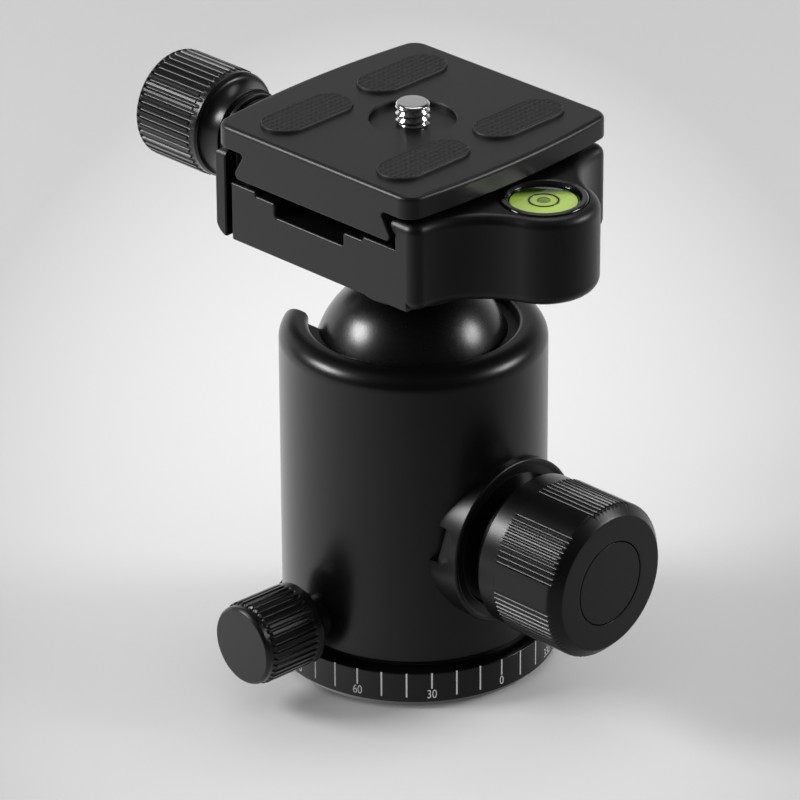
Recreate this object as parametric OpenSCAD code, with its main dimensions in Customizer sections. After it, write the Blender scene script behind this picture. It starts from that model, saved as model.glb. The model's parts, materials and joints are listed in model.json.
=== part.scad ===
// Tripod ball head with a panning base, a main lock, a dovetail clamp and a quick release plate.
// The origin is the centre of the base underside. +Z is up and +X points to the main lock knob.
// All lengths are millimetres and all angles degrees.

/* [Panning base] */
// Distance that the graduated dial ring stands out past the housing
dial_lip = 2.1; // [1.6:0.1:4]
// Height of the dial ring
dial_h = 7.6; // [6:0.1:9]
// Width and height of the chamfer round the foot
foot_chamfer = 1.6; // [0.5:0.1:3]
// Width of the shoulder that the retainer disc bears on, outside the hub
shoulder_w = 3.1; // [2:0.1:4]
// Height of the hub above the lower edge of the housing
hub_rise = 11.35; // [10.5:0.05:13]
// Depth of the V groove round the hub
groove_depth = 1.6; // [1:0.1:2.2]
// Half the height of the V groove at the hub's surface
groove_half_h = 2.2; // [1.6:0.1:2.6]
// Thickness of the bearing washer under the housing
bearing_t = 1; // [0.8:0.1:1.6]
// Distance of the bearing washer's edge inside the housing's side
bearing_inset = 1; // [0.4:0.1:4]
// Thickness of the disc that holds the housing down on the hub
retainer_t = 2.2; // [1.6:0.1:2.6]
// Radius of the three retainer screws
retainer_screw_r = 1.5; // [1:0.1:2]
// Distance of the retainer screws inside the hub's side
retainer_inset = 3.5; // [2.5:0.1:4]
// Length of a retainer screw
retainer_screw_len = 9; // [6:0.5:11]

/* [Tripod socket] */
// Radius at the crests of the 3/8 inch thread in the bushing
tripod_thread_r = 4.05; // [3.9:0.01:4.2]
// Wall of the steel bushing
bushing_wall = 2.95; // [2:0.05:4]
// Length of the steel bushing
bushing_len = 9; // [7:0.5:12]
// Room round the tripod screw past the bushing
tripod_room = 0.8; // [0.4:0.1:1.2]

/* [Housing] */
// Wall between the ball's bore and the housing's side
body_wall = 5.5; // [4:0.1:8]
// Height of the rim above the upper seat ring
rim_cover = 2.1; // [1:0.1:4]
// Height of the rounding outside the rim
rim_round_h = 4; // [2:0.1:5]
// Width of the flat between the rim's two roundings
rim_flat = 0.7; // [0.3:0.1:2]
// Radius of the small rounding inside the rim and on the jaws' lips
lip_round = 1; // [0.4:0.1:1.4]
// Step between the ball's bore and the core block's bore
core_step = 2.4; // [1.5:0.1:4]
// Thickness of the core block over the wedge pin
core_roof = 0.85; // [0.5:0.05:2]
// Room on each side of the neck in the slot that it drops into
notch_room = 2.4; // [1:0.1:3]
// Height of the slot's round end above the ball's centre
notch_mid_rise = 2.1; // [1:0.1:3]
// Width of the chamfer round the housing's lower edge
body_edge = 0.4; // [0.2:0.1:0.8]

/* [Ball and neck] */
// Radius of the ball
ball_r = 18.85; // [16:0.05:22]
// Gap between the ball and the bore round it
socket_gap = 0.65; // [0.4:0.05:0.9]
// Radius of the neck
stem_r = 10; // [8:0.1:11]
// Height of the upper seat ring's lower edge above the ball's centre
seat_rise = 0.8; // [0.4:0.1:2]
// Height of the upper seat ring
seat_h = 6.3; // [4:0.1:8]
// Gap under the cup
cup_gap = 0.7; // [0.5:0.1:1]
// Thickness of the cup under the ball
cup_floor = 1.65; // [1:0.05:3]
// Height of the cup
cup_h = 6; // [4:0.1:8]

/* [Main lock] */
// Radius of the main knob
lock_knob_r = 15; // [13:0.1:18]
// Gap between the collar and the main knob's rim
knob_gap = 4; // [2.5:0.1:6]
// Length of the main knob
lock_knob_len = 19.8; // [16:0.1:26]
// Width of the rounding round the flat face
lock_knob_edge = 1.95; // [0.5:0.05:3]
// Length of the smooth band behind the ribs
lock_band = 4.4; // [2:0.1:6]
// Length of the smooth ring in front of the ribs
lock_front = 2.6; // [2.2:0.1:4]
// Number of rib groups round the knob
rib_groups = 6; // [3:1:8]
// Number of grooves in one rib group
rib_group_grooves = 10; // [4:1:12]
// Angle between neighbouring grooves of a group
rib_step = 4; // [3.5:0.1:6]
// Angle that the rib groups are turned by
rib_turn = -6; // [-30:0.5:30]
// Radius of one groove of the main knob
lock_groove_r = 0.42; // [0.3:0.02:0.5]
// Radius of the disc let into the face
cap_r = 8; // [6:0.1:9]
// Thickness of the disc let into the face
cap_t = 1.5; // [1:0.1:2.5]
// Width of the fine groove round the disc
cap_groove = 0.2; // [0.1:0.05:0.4]
// Radius of the main lock screw
lock_screw_r = 4; // [3.5:0.1:4.5]
// Distance of the knob's rear hub inside the knob's radius
lock_hub_inset = 3; // [2:0.1:6]
// Gap between the collar and the knob's rear hub
hub_gap = 1.6; // [1:0.1:3]
// Distance that the collar's radius is larger than the knob's
collar_over = 1; // [0.2:0.1:2]
// Distance that the collar's front edge stands out past the housing's side
collar_stand = 1; // [0.8:0.1:3]
// Width of the raised lip round the collar's front
collar_lip = 0.7; // [0.4:0.1:1.2]
// Depth of the dish inside the collar's lip
collar_dish = 0.5; // [0.3:0.1:0.8]
// Step between the wedge pin and the collar's spigot in the housing wall
spigot_step = 0.45; // [0.2:0.05:1]
// Height of the slot milled in the collar's side
collar_slot_h = 7; // [5:0.1:8]
// Depth of the slot milled in the collar's side
collar_slot_depth = 1.8; // [1:0.1:2.6]
// Angle of that slot above the collar's side
collar_slot_angle = 12; // [0:1:25]
// Radius of the wedge pin
wedge_r = 5.95; // [5:0.05:7]
// Angle of the ramp on the wedge pin
ramp_angle = 30; // [20:1:32]
// Distance of the wedge pin's tip past the plunger
wedge_reach = 3; // [2:0.1:4]
// Distance of the wedge pin's rear end inside the core block
wedge_back = 5.1; // [4:0.1:6]
// Thickness of the core block's floor under the wedge pin
core_floor = 2.1; // [1:0.1:4]
// Step between the wedge pin and the plunger
plunger_step = 0.95; // [0.5:0.05:1.5]

/* [Pan lock] */
// Height of the pan lock axis above the lower edge of the housing
pan_rise = 5.5; // [4.8:0.05:6.5]
// Direction of the pan lock axis, from +X
pan_angle = -94.5; // [-100:0.5:-85]
// Radius of the pan knob
pan_knob_r = 8; // [6:0.1:8.4]
// Gap between the sleeve and the pan knob
pan_gap = 1; // [0.4:0.1:3]
// Length of the pan knob
pan_knob_len = 14.3; // [12:0.1:18]
// Width of the step between the ribs and the smooth front ring
pan_step = 0.4; // [0.35:0.05:0.6]
// Width of the rounding round the pan knob's flat face
pan_edge = 0.55; // [0.3:0.05:2]
// Length of the smooth band behind the pan knob's ribs
pan_band = 2.5; // [1:0.1:4]
// Length of the smooth ring in front of the pan knob's ribs
pan_front = 1.8; // [1.2:0.1:3]
// Number of grooves round the pan knob
pan_ribs = 36; // [24:1:40]
// Radius of one groove of the pan knob
pan_groove_r = 0.4; // [0.2:0.02:0.46]
// Radius of the pan lock screw
pan_screw_r = 2.5; // [2:0.1:3]
// Wall of the sleeve in the housing wall
pan_sleeve_wall = 1.9; // [1.2:0.1:2.4]
// Distance that the sleeve stands out past the housing's side
pan_sleeve_stand = 2.3; // [1:0.1:4]
// Length of the brake shoe outside the hub
shoe_len = 4.6; // [3:0.1:5]
// Room between the brake shoe and the sleeve
shoe_play = 0.7; // [0.6:0.05:1]

/* [Clamp] */
// Height of the clamp's underside above the top of the ball
neck_rise = 7.95; // [6:0.05:12]
// Half the length of the clamp
clamp_half_y = 25.4; // [22:0.1:30]
// Wall of the clamp body outside the dovetail, on the knob side
left_wall = 1.9; // [1.2:0.1:3]
// Distance of the fixed side's corner arcs outside the dovetail
corner_out = 3.15; // [2:0.05:5]
// Radius of the clamp's vertical corners on the knob side
clamp_corner = 0.4; // [0.2:0.1:1]
// Radius of the rounding under the fixed side and the lobe
foot_round = 2.4; // [0.6:0.1:3]
// Step between that rounding and the radius of the fixed side's corners
corner_step = 0.2; // [0.1:0.05:2]
// Radius of the rounding on top of the fixed side and the lobe
top_round = 2; // [0.6:0.1:2.2]
// Height of the channel floor above the clamp's underside
floor_rise = 11.45; // [10.5:0.05:13]
// Depth of the shallow step in the channel floor
step_depth = 0.8; // [0.4:0.1:1.2]
// Width of the shallow step on each side of the deep groove
step_w = 4.85; // [2:0.05:5]
// Half the width of the deep groove along the channel
trough_half_w = 8.65; // [7:0.05:10]
// Depth of the deep groove under the channel floor
trough_depth = 3.45; // [2:0.05:4]
// Distance that the grooves lie off the axis of the head, away from the level
trough_shift = 1.6; // [0:0.1:2]
// Distance of the lobe's centre from the centres of the fixed side's corner arcs
lobe_out = 9.8; // [8:0.05:14]
// Wall of the lobe outside the level
lobe_wall = 2.1; // [2:0.05:3]
// Radius of the hollow curves between the lobe and the corners
lobe_blend = 16.2; // [10:0.1:24]
// Gap between the jaws and the plate's flange
jaw_clear = 1.3; // [0.4:0.05:2]
// Thickness of the moving jaw
jaw_t = 3.7; // [3:0.1:5]
// Gap between the moving jaw and the clamp body
jaw_gap = 0.4; // [0.2:0.1:0.8]
// Thickness of the moving jaw at its two ends
jaw_end_t = 2.6; // [2:0.1:3.5]
// Length of the thin ends of the moving jaw
jaw_end_len = 3; // [1:0.1:5]
// Width of the flat foot of the moving jaw
jaw_foot = 0.2; // [0.1:0.05:2]
// Radius of the rounding on top of the moving jaw
jaw_edge = 1.5; // [0.5:0.1:2]
// Radius of the boss on the moving jaw
boss_r = 6.9; // [5:0.1:7]
// Length of the boss outside the moving jaw
boss_len = 15.6; // [10:0.1:20]
// Radius of the guide pins
pin_r = 2; // [1.5:0.1:2.5]
// Distance of the guide pins from the ends of the clamp
pin_inset = 9.4; // [6:0.1:12]
// Height of the guide pins above the clamp's underside
pin_rise = 5; // [3:0.05:7]
// Depth of the guide pins in the clamp body
pin_depth = 11.5; // [8:0.1:14]
// Radius of the screw that holds the clamp on the neck
mount_screw_r = 3; // [2.5:0.1:3.5]
// Step between that screw and its head
mount_head_step = 1.8; // [1:0.1:2.2]
// Height of that screw's head
mount_head_h = 3.4; // [2.5:0.1:4]
// Height of that screw's tip above the ball
mount_tip_gap = 1.35; // [0.5:0.05:4]

/* [Clamp knob] */
// Height of the clamp screw's axis above the clamp's underside
clamp_screw_rise = 6.8; // [5:0.05:8]
// Radius of the clamp screw
clamp_screw_r = 3; // [2.5:0.1:3.2]
// Gap between the clamp screw's inner end and the mount screw's head
screw_clear = 1.8; // [1:0.1:4]
// Radius of the clamp knob
clamp_knob_r = 10.5; // [8:0.1:12]
// Length of the clamp knob
clamp_knob_len = 20.6; // [16:0.1:28]
// Distance of the clamp knob's hub inside the knob's radius
hub_inset = 2.3; // [1.2:0.1:4]
// Length of the straight part of the hub
clamp_hub_len = 1; // [0.5:0.1:2]
// Length of the hollow flare between hub and rim
clamp_flare = 3.2; // [2:0.1:5]
// Step between the flare and the rim
flare_inset = 0.6; // [0.2:0.05:1]
// Length of the smooth rim beside the flare
clamp_rim = 2.1; // [1:0.1:4]
// Length of the smooth outer end
clamp_end_band = 1.7; // [1.2:0.1:3]
// Number of grooves round the clamp knob
clamp_ribs = 45; // [30:1:48]
// Radius of one groove of the clamp knob
clamp_groove_r = 0.42; // [0.2:0.02:0.5]
// Distance that the thrust washer stands out past the boss
washer_over = 0.7; // [-1:0.1:1.5]
// Thickness of the thrust washer
washer_t = 1; // [0.6:0.1:1.1]

/* [Level] */
// Outer radius of the level's ring
level_r = 8.1; // [6:0.1:10]
// Wall of the level's ring
level_wall = 1.6; // [0.8:0.05:2.2]
// Depth of the level's seat in the lobe
level_depth = 6.5; // [5:0.1:8]
// Height that the level's ring stands above the lobe
level_proud = 0.3; // [0:0.1:0.6]
// Depth of the vial below the ring's edge
vial_drop = 0.5; // [0.2:0.1:1]
// Thickness of the level's floor
level_floor = 1; // [0.6:0.1:2]

/* [Quick release plate] */
// Half the width of the dovetail at its widest
dove_half_w = 19.6; // [17:0.1:22]
// Height of the plate's lowest face above the channel floor
dove_rise = 1.55; // [0.4:0.05:2]
// Height of the dovetail under the flange
dove_h = 5.4; // [4:0.1:7]
// Radius of the dovetail's lower edges
dove_round = 1.1; // [0.5:0.1:1.5]
// Angle of the dovetail's flanks from the vertical
dove_lean = 30; // [20:1:45]
// Radius of the hollow under the flange
neck_round = 0.7; // [0.3:0.1:1.2]
// Thickness of the plate's flange
flange_t = 4.4; // [3:0.1:6]
// Distance that the plate stands out past the dovetail, at its middle
plate_side = 6.9; // [5:0.1:9]
// Distance that the plate stands out past the clamp's ends
plate_over_y = 0.85; // [-4:0.05:10]
// Bow of the plate's long sides
plate_bow = 1.94; // [0.5:0.01:3]
// Radius of the plate's corners
plate_corner = 3.4; // [1:0.1:5]
// Radius of the round recess in the plate's top
recess_r = 8; // [6:0.1:9]
// Depth of that recess
recess_depth = 1; // [0.5:0.1:1.5]
// Room round the camera screw's head in its pocket
pocket_room = 0.8; // [0.3:0.1:1.5]
// Depth of the pocket's ceiling under the flange's underside
pocket_roof = 1; // [0.2:0.1:2]
// Width of a rubber pad
pad_w = 8.8; // [5:0.1:10]
// Length of a rubber pad
pad_len = 20.2; // [12:0.1:24]
// Distance of the pads' centres inside the plate's sides
pad_side = 11.8; // [10:0.1:14]
// Distance of the pads' centres inside the plate's ends
pad_end = 13.85; // [12:0.05:16]
// Depth that a pad is let into the plate
pad_sink = 0.7; // [0.4:0.1:1]
// Height that a pad stands above the plate
pad_proud = 0.7; // [0.3:0.1:1.2]

/* [Camera screw] */
// Radius of the 1/4 inch thread that goes into the camera
camera_screw_r = 3.175; // [3.1:0.005:3.25]
// Depth of that thread
thread_depth = 0.575; // [0.4:0.005:0.7]
// Gap between the screw's thin shank and the plate's own thread
shank_gap = 0.3; // [0.1:0.05:0.6]
// Height of the camera screw's tip above the plate
camera_reach = 3.2; // [2.5:0.1:6]
// Radius of the camera screw's head
camera_head_r = 7.6; // [6:0.1:8]
// Height of the camera screw's head above the plate's lowest face
camera_head_gap = 0.95; // [0.5:0.05:2]
// Width of the coin slot
coin_slot_w = 1.8; // [1:0.1:2.4]
// Depth of the coin slot
coin_slot_depth = 1.6; // [0.8:0.1:2]
// Chamfer at the tip of the camera screw
camera_tip_chamfer = 0.5; // [0.2:0.1:0.8]

/* [Hidden] */
$fn = 96;

// Length by which a cut runs past a face
over = 2;
// Gap between a shaft and the bore that it turns or slides in
run_gap = 0.05;
// Gap between fixed pieces that fit into each other
fit_gap = 0.02;
// Gap between faces that carry each other and move apart
seat_gap = 0.05;
// Angles that the roundings round the two lock knobs' faces sweep
lock_face_sweep = 50;
pan_face_sweep = 60;

// Radii round the axis of the head
socket_r = ball_r + socket_gap;
body_r = socket_r + body_wall;
core_r = socket_r - core_step;
hub_r = core_r - shoulder_w;
dial_r = body_r + dial_lip;
bearing_r = body_r - bearing_inset;
retainer_r = core_r - run_gap;
retainer_pitch_r = hub_r - retainer_inset;
bushing_r = tripod_thread_r + bushing_wall;
rim_round_w = body_wall - lip_round - rim_flat;
plunger_r = wedge_r - plunger_step;
notch_half_w = stem_r + notch_room;

// Heights from the foot to the ball
body_z = dial_h + bearing_t + run_gap;
hub_top = body_z + hub_rise;
pan_z = body_z + pan_rise;
shoulder_z = hub_top - 2 * run_gap;
core_z = hub_top + retainer_t + 0.25 * retainer_t;
lock_z = core_z + core_floor + wedge_r;
chamber_z = lock_z + wedge_r + core_roof;
cup_z = chamber_z + cup_gap;
cup_top = cup_z + cup_h;
ball_z = cup_z + cup_floor + ball_r;
seat_z = ball_z + seat_rise;
seat_top = seat_z + seat_h;
body_top = seat_top + rim_cover;
notch_mid_z = ball_z + notch_mid_rise;

// The main lock along its axis
collar_r = lock_knob_r + collar_over;
collar_front = body_r + collar_stand;
lock_knob_rear = collar_front + knob_gap;
lock_knob_face = lock_knob_rear + lock_knob_len;
lock_face_r = lock_knob_r - lock_knob_edge;
lock_hub_r = lock_knob_r - lock_hub_inset;
lock_hub_len = knob_gap - hub_gap;
spigot_r = wedge_r + spigot_step;
wedge_tip = plunger_r + wedge_reach;
wedge_rear = core_r - wedge_back;
ramp_slope = tan(ramp_angle);

// The pan lock along its axis
shoe_rear = hub_r + shoe_len;
pan_sleeve_start = shoe_rear + shoe_play;
pan_sleeve_end = body_r + pan_sleeve_stand;
pan_sleeve_r = pan_screw_r + pan_sleeve_wall;
pan_knob_rear = pan_sleeve_end + pan_gap;
pan_knob_face = pan_knob_rear + pan_knob_len;
pan_ring_r = pan_knob_r - pan_step;
pan_face_r = pan_ring_r - pan_edge;

// Heights of the clamp and the plate
clamp_z = ball_z + ball_r + neck_rise;
floor_z = clamp_z + floor_rise;
trough_z = floor_z - trough_depth;
dove_z = floor_z + dove_rise;
flange_z = dove_z + dove_h;
plate_top = flange_z + flange_t;
jaw_top = flange_z - jaw_clear;
mount_tip_z = ball_z + ball_r + mount_tip_gap;
pin_z = clamp_z + pin_rise;
clamp_screw_z = clamp_z + clamp_screw_rise;
level_seat_z = jaw_top - level_depth;

// Widths of the clamp and the plate
clamp_left = dove_half_w + left_wall;
jaw_inner = clamp_left + jaw_gap;
jaw_outer = jaw_inner + jaw_t;
jaw_round = jaw_t - jaw_foot;
boss_end = jaw_outer + boss_len;
pin_y = clamp_half_y - pin_inset;
pin_inner = clamp_left - pin_depth;
mount_head_r = mount_screw_r + mount_head_step;
trough_mid = -trough_shift;
step_half_w = trough_half_w + step_w;
plate_half_x = dove_half_w + plate_side;
plate_half_y = clamp_half_y + plate_over_y;
bow_r = (pow(plate_half_y, 2) + pow(plate_bow, 2)) / (2 * plate_bow);
corner_x = plate_half_x - plate_bow;
pad_x = plate_half_x - pad_side;
pad_y = plate_half_y - pad_end;

// Plan of the fixed side: corner arc, hollow curve and lobe, each tangent to the next
fixed_corner = foot_round + corner_step;
corner_mid = [dove_half_w + corner_out, clamp_half_y - fixed_corner];
lobe_r = level_r + lobe_wall;
lobe_x = corner_mid.x + lobe_out;
blend_mid = circle_meet(corner_mid, lobe_blend + fixed_corner, [lobe_x, 0], lobe_blend + lobe_r);
corner_turn = atan2(blend_mid.y - corner_mid.y, blend_mid.x - corner_mid.x);
lobe_turn = atan2(blend_mid.y, blend_mid.x - lobe_x);

// The dovetail's flank starts where it leaves the rounding of the lower edge
flank_x = dove_half_w - dove_round + dove_round * cos(dove_lean);
flank_z = dove_z + dove_round + dove_round * sin(dove_lean);

// The clamp knob along its axis
clamp_screw_end = mount_head_r + screw_clear;
clamp_hub_start = boss_end + washer_t + 4 * run_gap;
clamp_knob_end = clamp_hub_start + clamp_knob_len;
clamp_hub_r = clamp_knob_r - hub_inset;
clamp_flare_r = clamp_knob_r - flare_inset;
washer_r = boss_r + washer_over;

// The camera screw
plate_thread_r = camera_screw_r - thread_depth;
camera_shank_r = plate_thread_r - shank_gap;
camera_tip_z = plate_top + camera_reach;
camera_head_z = dove_z + camera_head_gap;
head_pocket_r = camera_head_r + pocket_room;
head_pocket_z = flange_z - pocket_roof;

anodised = [0.075, 0.077, 0.085];
steel = [0.62, 0.62, 0.63];
brass = [0.72, 0.58, 0.30];
polymer = [0.16, 0.16, 0.17];
rubber = [0.05, 0.05, 0.05];
spirit = [0.45, 0.75, 0.15];

// Half width of the plate's dovetail at a height on its flank
function flank(z) = flank_x - (z - flank_z) * tan(dove_lean);

// Point at distance d0 from p0 and d1 from p1, on the side of p0 and p1 that faces +X
function circle_meet(p0, d0, p1, d1) =
    let (gap = norm(p1 - p0), along = (d0 * d0 - d1 * d1 + gap * gap) / (2 * gap),
         aside = sqrt(d0 * d0 - along * along), way = (p1 - p0) / gap)
        p0 + along * way + aside * [-way.y, way.x];

// Points of an arc of an ellipse, from angle a0 to a1
function arc(cx, cy, rx, ry, a0, a1, n) =
    [for (i = [0 : n]) let (a = a0 + (a1 - a0) * i / n) [cx + rx * cos(a), cy + ry * sin(a)]];

// Lays a solid of revolution along a level axis that leaves the head's axis at the given height
module level_axis(z, turn) {
    translate([0, 0, z]) rotate([0, 90, turn]) children();
}

// Straight round rod along a level axis, between two distances from the head's axis
module rod(z, turn, from, to, r) {
    level_axis(z, turn) translate([0, 0, from]) cylinder(h = to - from, r = r);
}

// Row of fine round grooves cut along a knob, between two distances from the head's axis
module grooves(from, to, knob_r, groove_r, angles) {
    for (a = angles)
        rotate([0, 0, a]) translate([knob_r + groove_r * 0.15, 0, from])
            cylinder(h = to - from, r = groove_r, $fn = 16);
}

// Rectangle with four round corners
module round_rect(x0, x1, y0, y1, r) {
    translate([x0 + r, y0]) square([x1 - x0 - 2 * r, y1 - y0]);
    translate([x0, y0 + r]) square([x1 - x0, y1 - y0 - 2 * r]);
    for (x = [x0 + r, x1 - r], y = [y0 + r, y1 - r]) translate([x, y]) circle(r = r, $fn = 32);
}

// Stretches a profile in X and Z along Y, centred on the middle of the clamp
module along_y(half_len) {
    translate([0, half_len, 0]) rotate([90, 0, 0]) linear_extrude(height = 2 * half_len) children();
}

module pan_base() {
    color(anodised) difference() {
        union() {
            rotate_extrude() polygon([[0, 0], [dial_r - foot_chamfer, 0], [dial_r, foot_chamfer],
                                      [dial_r, dial_h], [0, dial_h]]);
            rotate_extrude() polygon([[0, dial_h - foot_chamfer], [hub_r, dial_h - foot_chamfer],
                                      [hub_r, pan_z - groove_half_h], [hub_r - groove_depth, pan_z],
                                      [hub_r, pan_z + groove_half_h], [hub_r, hub_top], [0, hub_top]]);
        }
        translate([0, 0, -over]) cylinder(h = over + bushing_len, r = bushing_r + fit_gap);
        translate([0, 0, bushing_len - fit_gap]) cylinder(h = hub_top, r = tripod_thread_r + tripod_room);
        retainer_places() cylinder(h = retainer_screw_len + over, r = retainer_screw_r + fit_gap, $fn = 32);
    }
}

// The three places of the retainer screws, each at a screw's tip
module retainer_places() {
    for (a = [30 : 120 : 270])
        rotate([0, 0, a])
            translate([retainer_pitch_r, 0, hub_top + retainer_t - retainer_screw_len - fit_gap])
                children();
}

module tripod_bushing() {
    color(steel) difference() {
        cylinder(h = bushing_len, r = bushing_r);
        translate([0, 0, -over]) cylinder(h = bushing_len + 2 * over, r = tripod_thread_r);
    }
}

module bearing_washer() {
    color(polymer) translate([0, 0, dial_h]) difference() {
        cylinder(h = bearing_t, r = bearing_r);
        translate([0, 0, -over]) cylinder(h = bearing_t + 2 * over, r = hub_r + run_gap);
    }
}

module hub_retainer() {
    color(steel) difference() {
        translate([0, 0, hub_top]) cylinder(h = retainer_t, r = retainer_r);
        translate([0, 0, hub_top - over])
            cylinder(h = retainer_t + 2 * over, r = tripod_thread_r + tripod_room);
        retainer_places() retainer_screw(fit_gap);
    }
}

// Countersunk screw standing on its tip
module retainer_screw(grow) {
    cylinder(h = retainer_screw_len, r = retainer_screw_r + grow, $fn = 32);
    translate([0, 0, retainer_screw_len - retainer_screw_r])
        cylinder(h = retainer_screw_r + grow, r1 = retainer_screw_r + grow,
                 r2 = 2 * retainer_screw_r + grow, $fn = 32);
}

module retainer_screws() {
    color(steel) retainer_places() difference() {
        retainer_screw(0);
        translate([0, 0, retainer_screw_len - 0.7 * retainer_screw_r])
            cylinder(h = over, r = 0.7 * retainer_screw_r, $fn = 6);
    }
}

module housing() {
    rim = concat([[body_r, body_z + body_edge]],
                 arc(body_r - rim_round_w, body_top - rim_round_h, rim_round_w, rim_round_h, 0, 90, 14),
                 arc(socket_r + lip_round, body_top - lip_round, lip_round, lip_round, 90, 180, 6));
    color(anodised) difference() {
        rotate_extrude($fn = 160) polygon(concat(
            [[body_r - body_edge, body_z]], rim,
            [[socket_r, chamber_z], [core_r, chamber_z], [core_r, shoulder_z],
             [hub_r + run_gap, shoulder_z], [hub_r + run_gap, body_z]]));
        translate([0, 0, notch_mid_z]) rotate([0, -90, 0])
            cylinder(h = body_r + over, r = notch_half_w);
        translate([-body_r - over, -notch_half_w, notch_mid_z])
            cube([body_r + over, 2 * notch_half_w, body_top]);
        rod(lock_z, 0, 0, body_r + over, spigot_r + fit_gap);
        rod(pan_z, pan_angle, 0, body_r + over, pan_sleeve_r + fit_gap);
    }
}

module core_block() {
    color(polymer) difference() {
        translate([0, 0, core_z]) cylinder(h = chamber_z - core_z, r = core_r - fit_gap);
        rod(lock_z, 0, -wedge_tip - over, core_r + over, wedge_r + run_gap);
        translate([0, 0, lock_z]) cylinder(h = chamber_z - lock_z + over, r = plunger_r + run_gap);
    }
}

module lock_collar() {
    color(anodised) difference() {
        union() {
            difference() {
                level_axis(lock_z, 0) rotate_extrude() polygon([
                    [0, 0], [collar_r, 0], [collar_r, collar_front],
                    [collar_r - collar_lip, collar_front],
                    [collar_r - collar_lip - collar_dish, collar_front - collar_dish],
                    [0, collar_front - collar_dish]]);
                cylinder(h = 2 * body_top, r = body_r, $fn = 160);
            }
            rod(lock_z, 0, core_r + run_gap, body_r, spigot_r);
        }
        rod(lock_z, 0, 0, collar_front + over, lock_screw_r + run_gap);
        translate([0, 0, lock_z]) rotate([-collar_slot_angle, 0, 0]) {
            translate([0, -collar_r - over, -collar_slot_h / 2])
                cube([collar_front - collar_slot_h / 2, over + collar_slot_depth, collar_slot_h]);
            translate([collar_front - collar_slot_h / 2, -collar_r - over, 0]) rotate([-90, 0, 0])
                cylinder(h = over + collar_slot_depth, r = collar_slot_h / 4 + collar_slot_depth / 2);
        }
    }
}

module upper_seat_ring() {
    color(polymer) difference() {
        translate([0, 0, seat_z]) cylinder(h = seat_top - seat_z, r = socket_r - fit_gap);
        translate([0, 0, ball_z]) sphere(r = ball_r + seat_gap, $fn = 128);
        translate([-body_r - over, -notch_half_w, seat_z - over])
            cube([body_r + over, 2 * notch_half_w, body_top]);
    }
}

module pan_sleeve() {
    color(steel) difference() {
        rod(pan_z, pan_angle, pan_sleeve_start, pan_sleeve_end, pan_sleeve_r);
        rod(pan_z, pan_angle, 0, pan_sleeve_end + over, pan_screw_r + run_gap);
    }
}

module lock_wedge() {
    // Height above the pin's axis to which the ramp's cut runs, clear of the pin's top
    cut_high = wedge_r + over;
    color(steel) difference() {
        rod(lock_z, 0, -wedge_tip, wedge_rear, wedge_r);
        along_y(2 * wedge_r) polygon([[-wedge_tip - over, lock_z - (wedge_tip + over) * ramp_slope],
                                      [cut_high / ramp_slope, lock_z + cut_high],
                                      [-wedge_tip - over, lock_z + cut_high]]);
    }
}

module lock_screw() {
    color(steel) rod(lock_z, 0, wedge_rear + seat_gap, lock_knob_face - cap_t - cap_groove, lock_screw_r);
}

module lock_knob() {
    ribs_from = lock_knob_rear + lock_band;
    ribs_to = lock_knob_face - lock_front;
    cap_seat = lock_knob_face - cap_t;
    bore = lock_screw_r + fit_gap;
    color(anodised) level_axis(lock_z, 0) difference() {
        rotate_extrude() polygon(concat(
            [[bore, lock_knob_rear - lock_hub_len], [lock_hub_r, lock_knob_rear - lock_hub_len],
             [lock_hub_r, lock_knob_rear], [lock_knob_r - body_edge, lock_knob_rear],
             [lock_knob_r, lock_knob_rear + body_edge]],
            arc(lock_face_r, lock_knob_face - lock_knob_edge, lock_knob_edge, lock_knob_edge,
                0, lock_face_sweep, 6),
            [[lock_face_r, lock_knob_face], [cap_r + cap_groove, lock_knob_face],
             [cap_r + cap_groove, cap_seat], [bore, cap_seat]]));
        grooves(ribs_from, ribs_to, lock_knob_r, lock_groove_r,
                [for (g = [0 : rib_groups - 1], i = [0 : rib_group_grooves - 1])
                     g * 360 / rib_groups + (i - (rib_group_grooves - 1) / 2) * rib_step + rib_turn]);
    }
}

module lock_knob_cap() {
    color(anodised) level_axis(lock_z, 0) difference() {
        translate([0, 0, lock_knob_face - cap_t]) cylinder(h = cap_t, r = cap_r);
        translate([0, 0, lock_knob_face - cap_t - over])
            cylinder(h = over + cap_t / 3, r = lock_screw_r + fit_gap);
    }
}

module cup_plunger() {
    foot = [-plunger_r, plunger_r];
    color(steel) difference() {
        translate([0, 0, lock_z - plunger_r]) cylinder(h = cup_z - lock_z + plunger_r, r = plunger_r);
        along_y(2 * plunger_r) polygon([
            for (x = foot) [2 * x, lock_z + 2 * x * ramp_slope + seat_gap],
            [2 * plunger_r, lock_z - 2 * plunger_r], [-2 * plunger_r, lock_z - 2 * plunger_r]]);
    }
}

module ball_cup() {
    color(brass) difference() {
        translate([0, 0, cup_z]) cylinder(h = cup_top - cup_z, r = socket_r - run_gap);
        translate([0, 0, ball_z]) sphere(r = ball_r + seat_gap, $fn = 128);
    }
}

module pan_brake_shoe() {
    tip = hub_r - groove_depth + 2 * run_gap;
    tip_r = groove_half_h * 0.9;
    tip_end = tip + tip_r * groove_depth / groove_half_h;
    color(brass) level_axis(pan_z, pan_angle) rotate_extrude() polygon([
        [0, tip], [tip_r, tip_end], [tip_r, hub_r + groove_depth / 4],
        [pan_sleeve_r - run_gap, hub_r + groove_depth / 4], [pan_sleeve_r - run_gap, shoe_rear],
        [0, shoe_rear]]);
}

module pan_screw() {
    color(steel) rod(pan_z, pan_angle, shoe_rear + seat_gap, pan_knob_face - pan_front, pan_screw_r);
}

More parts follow.
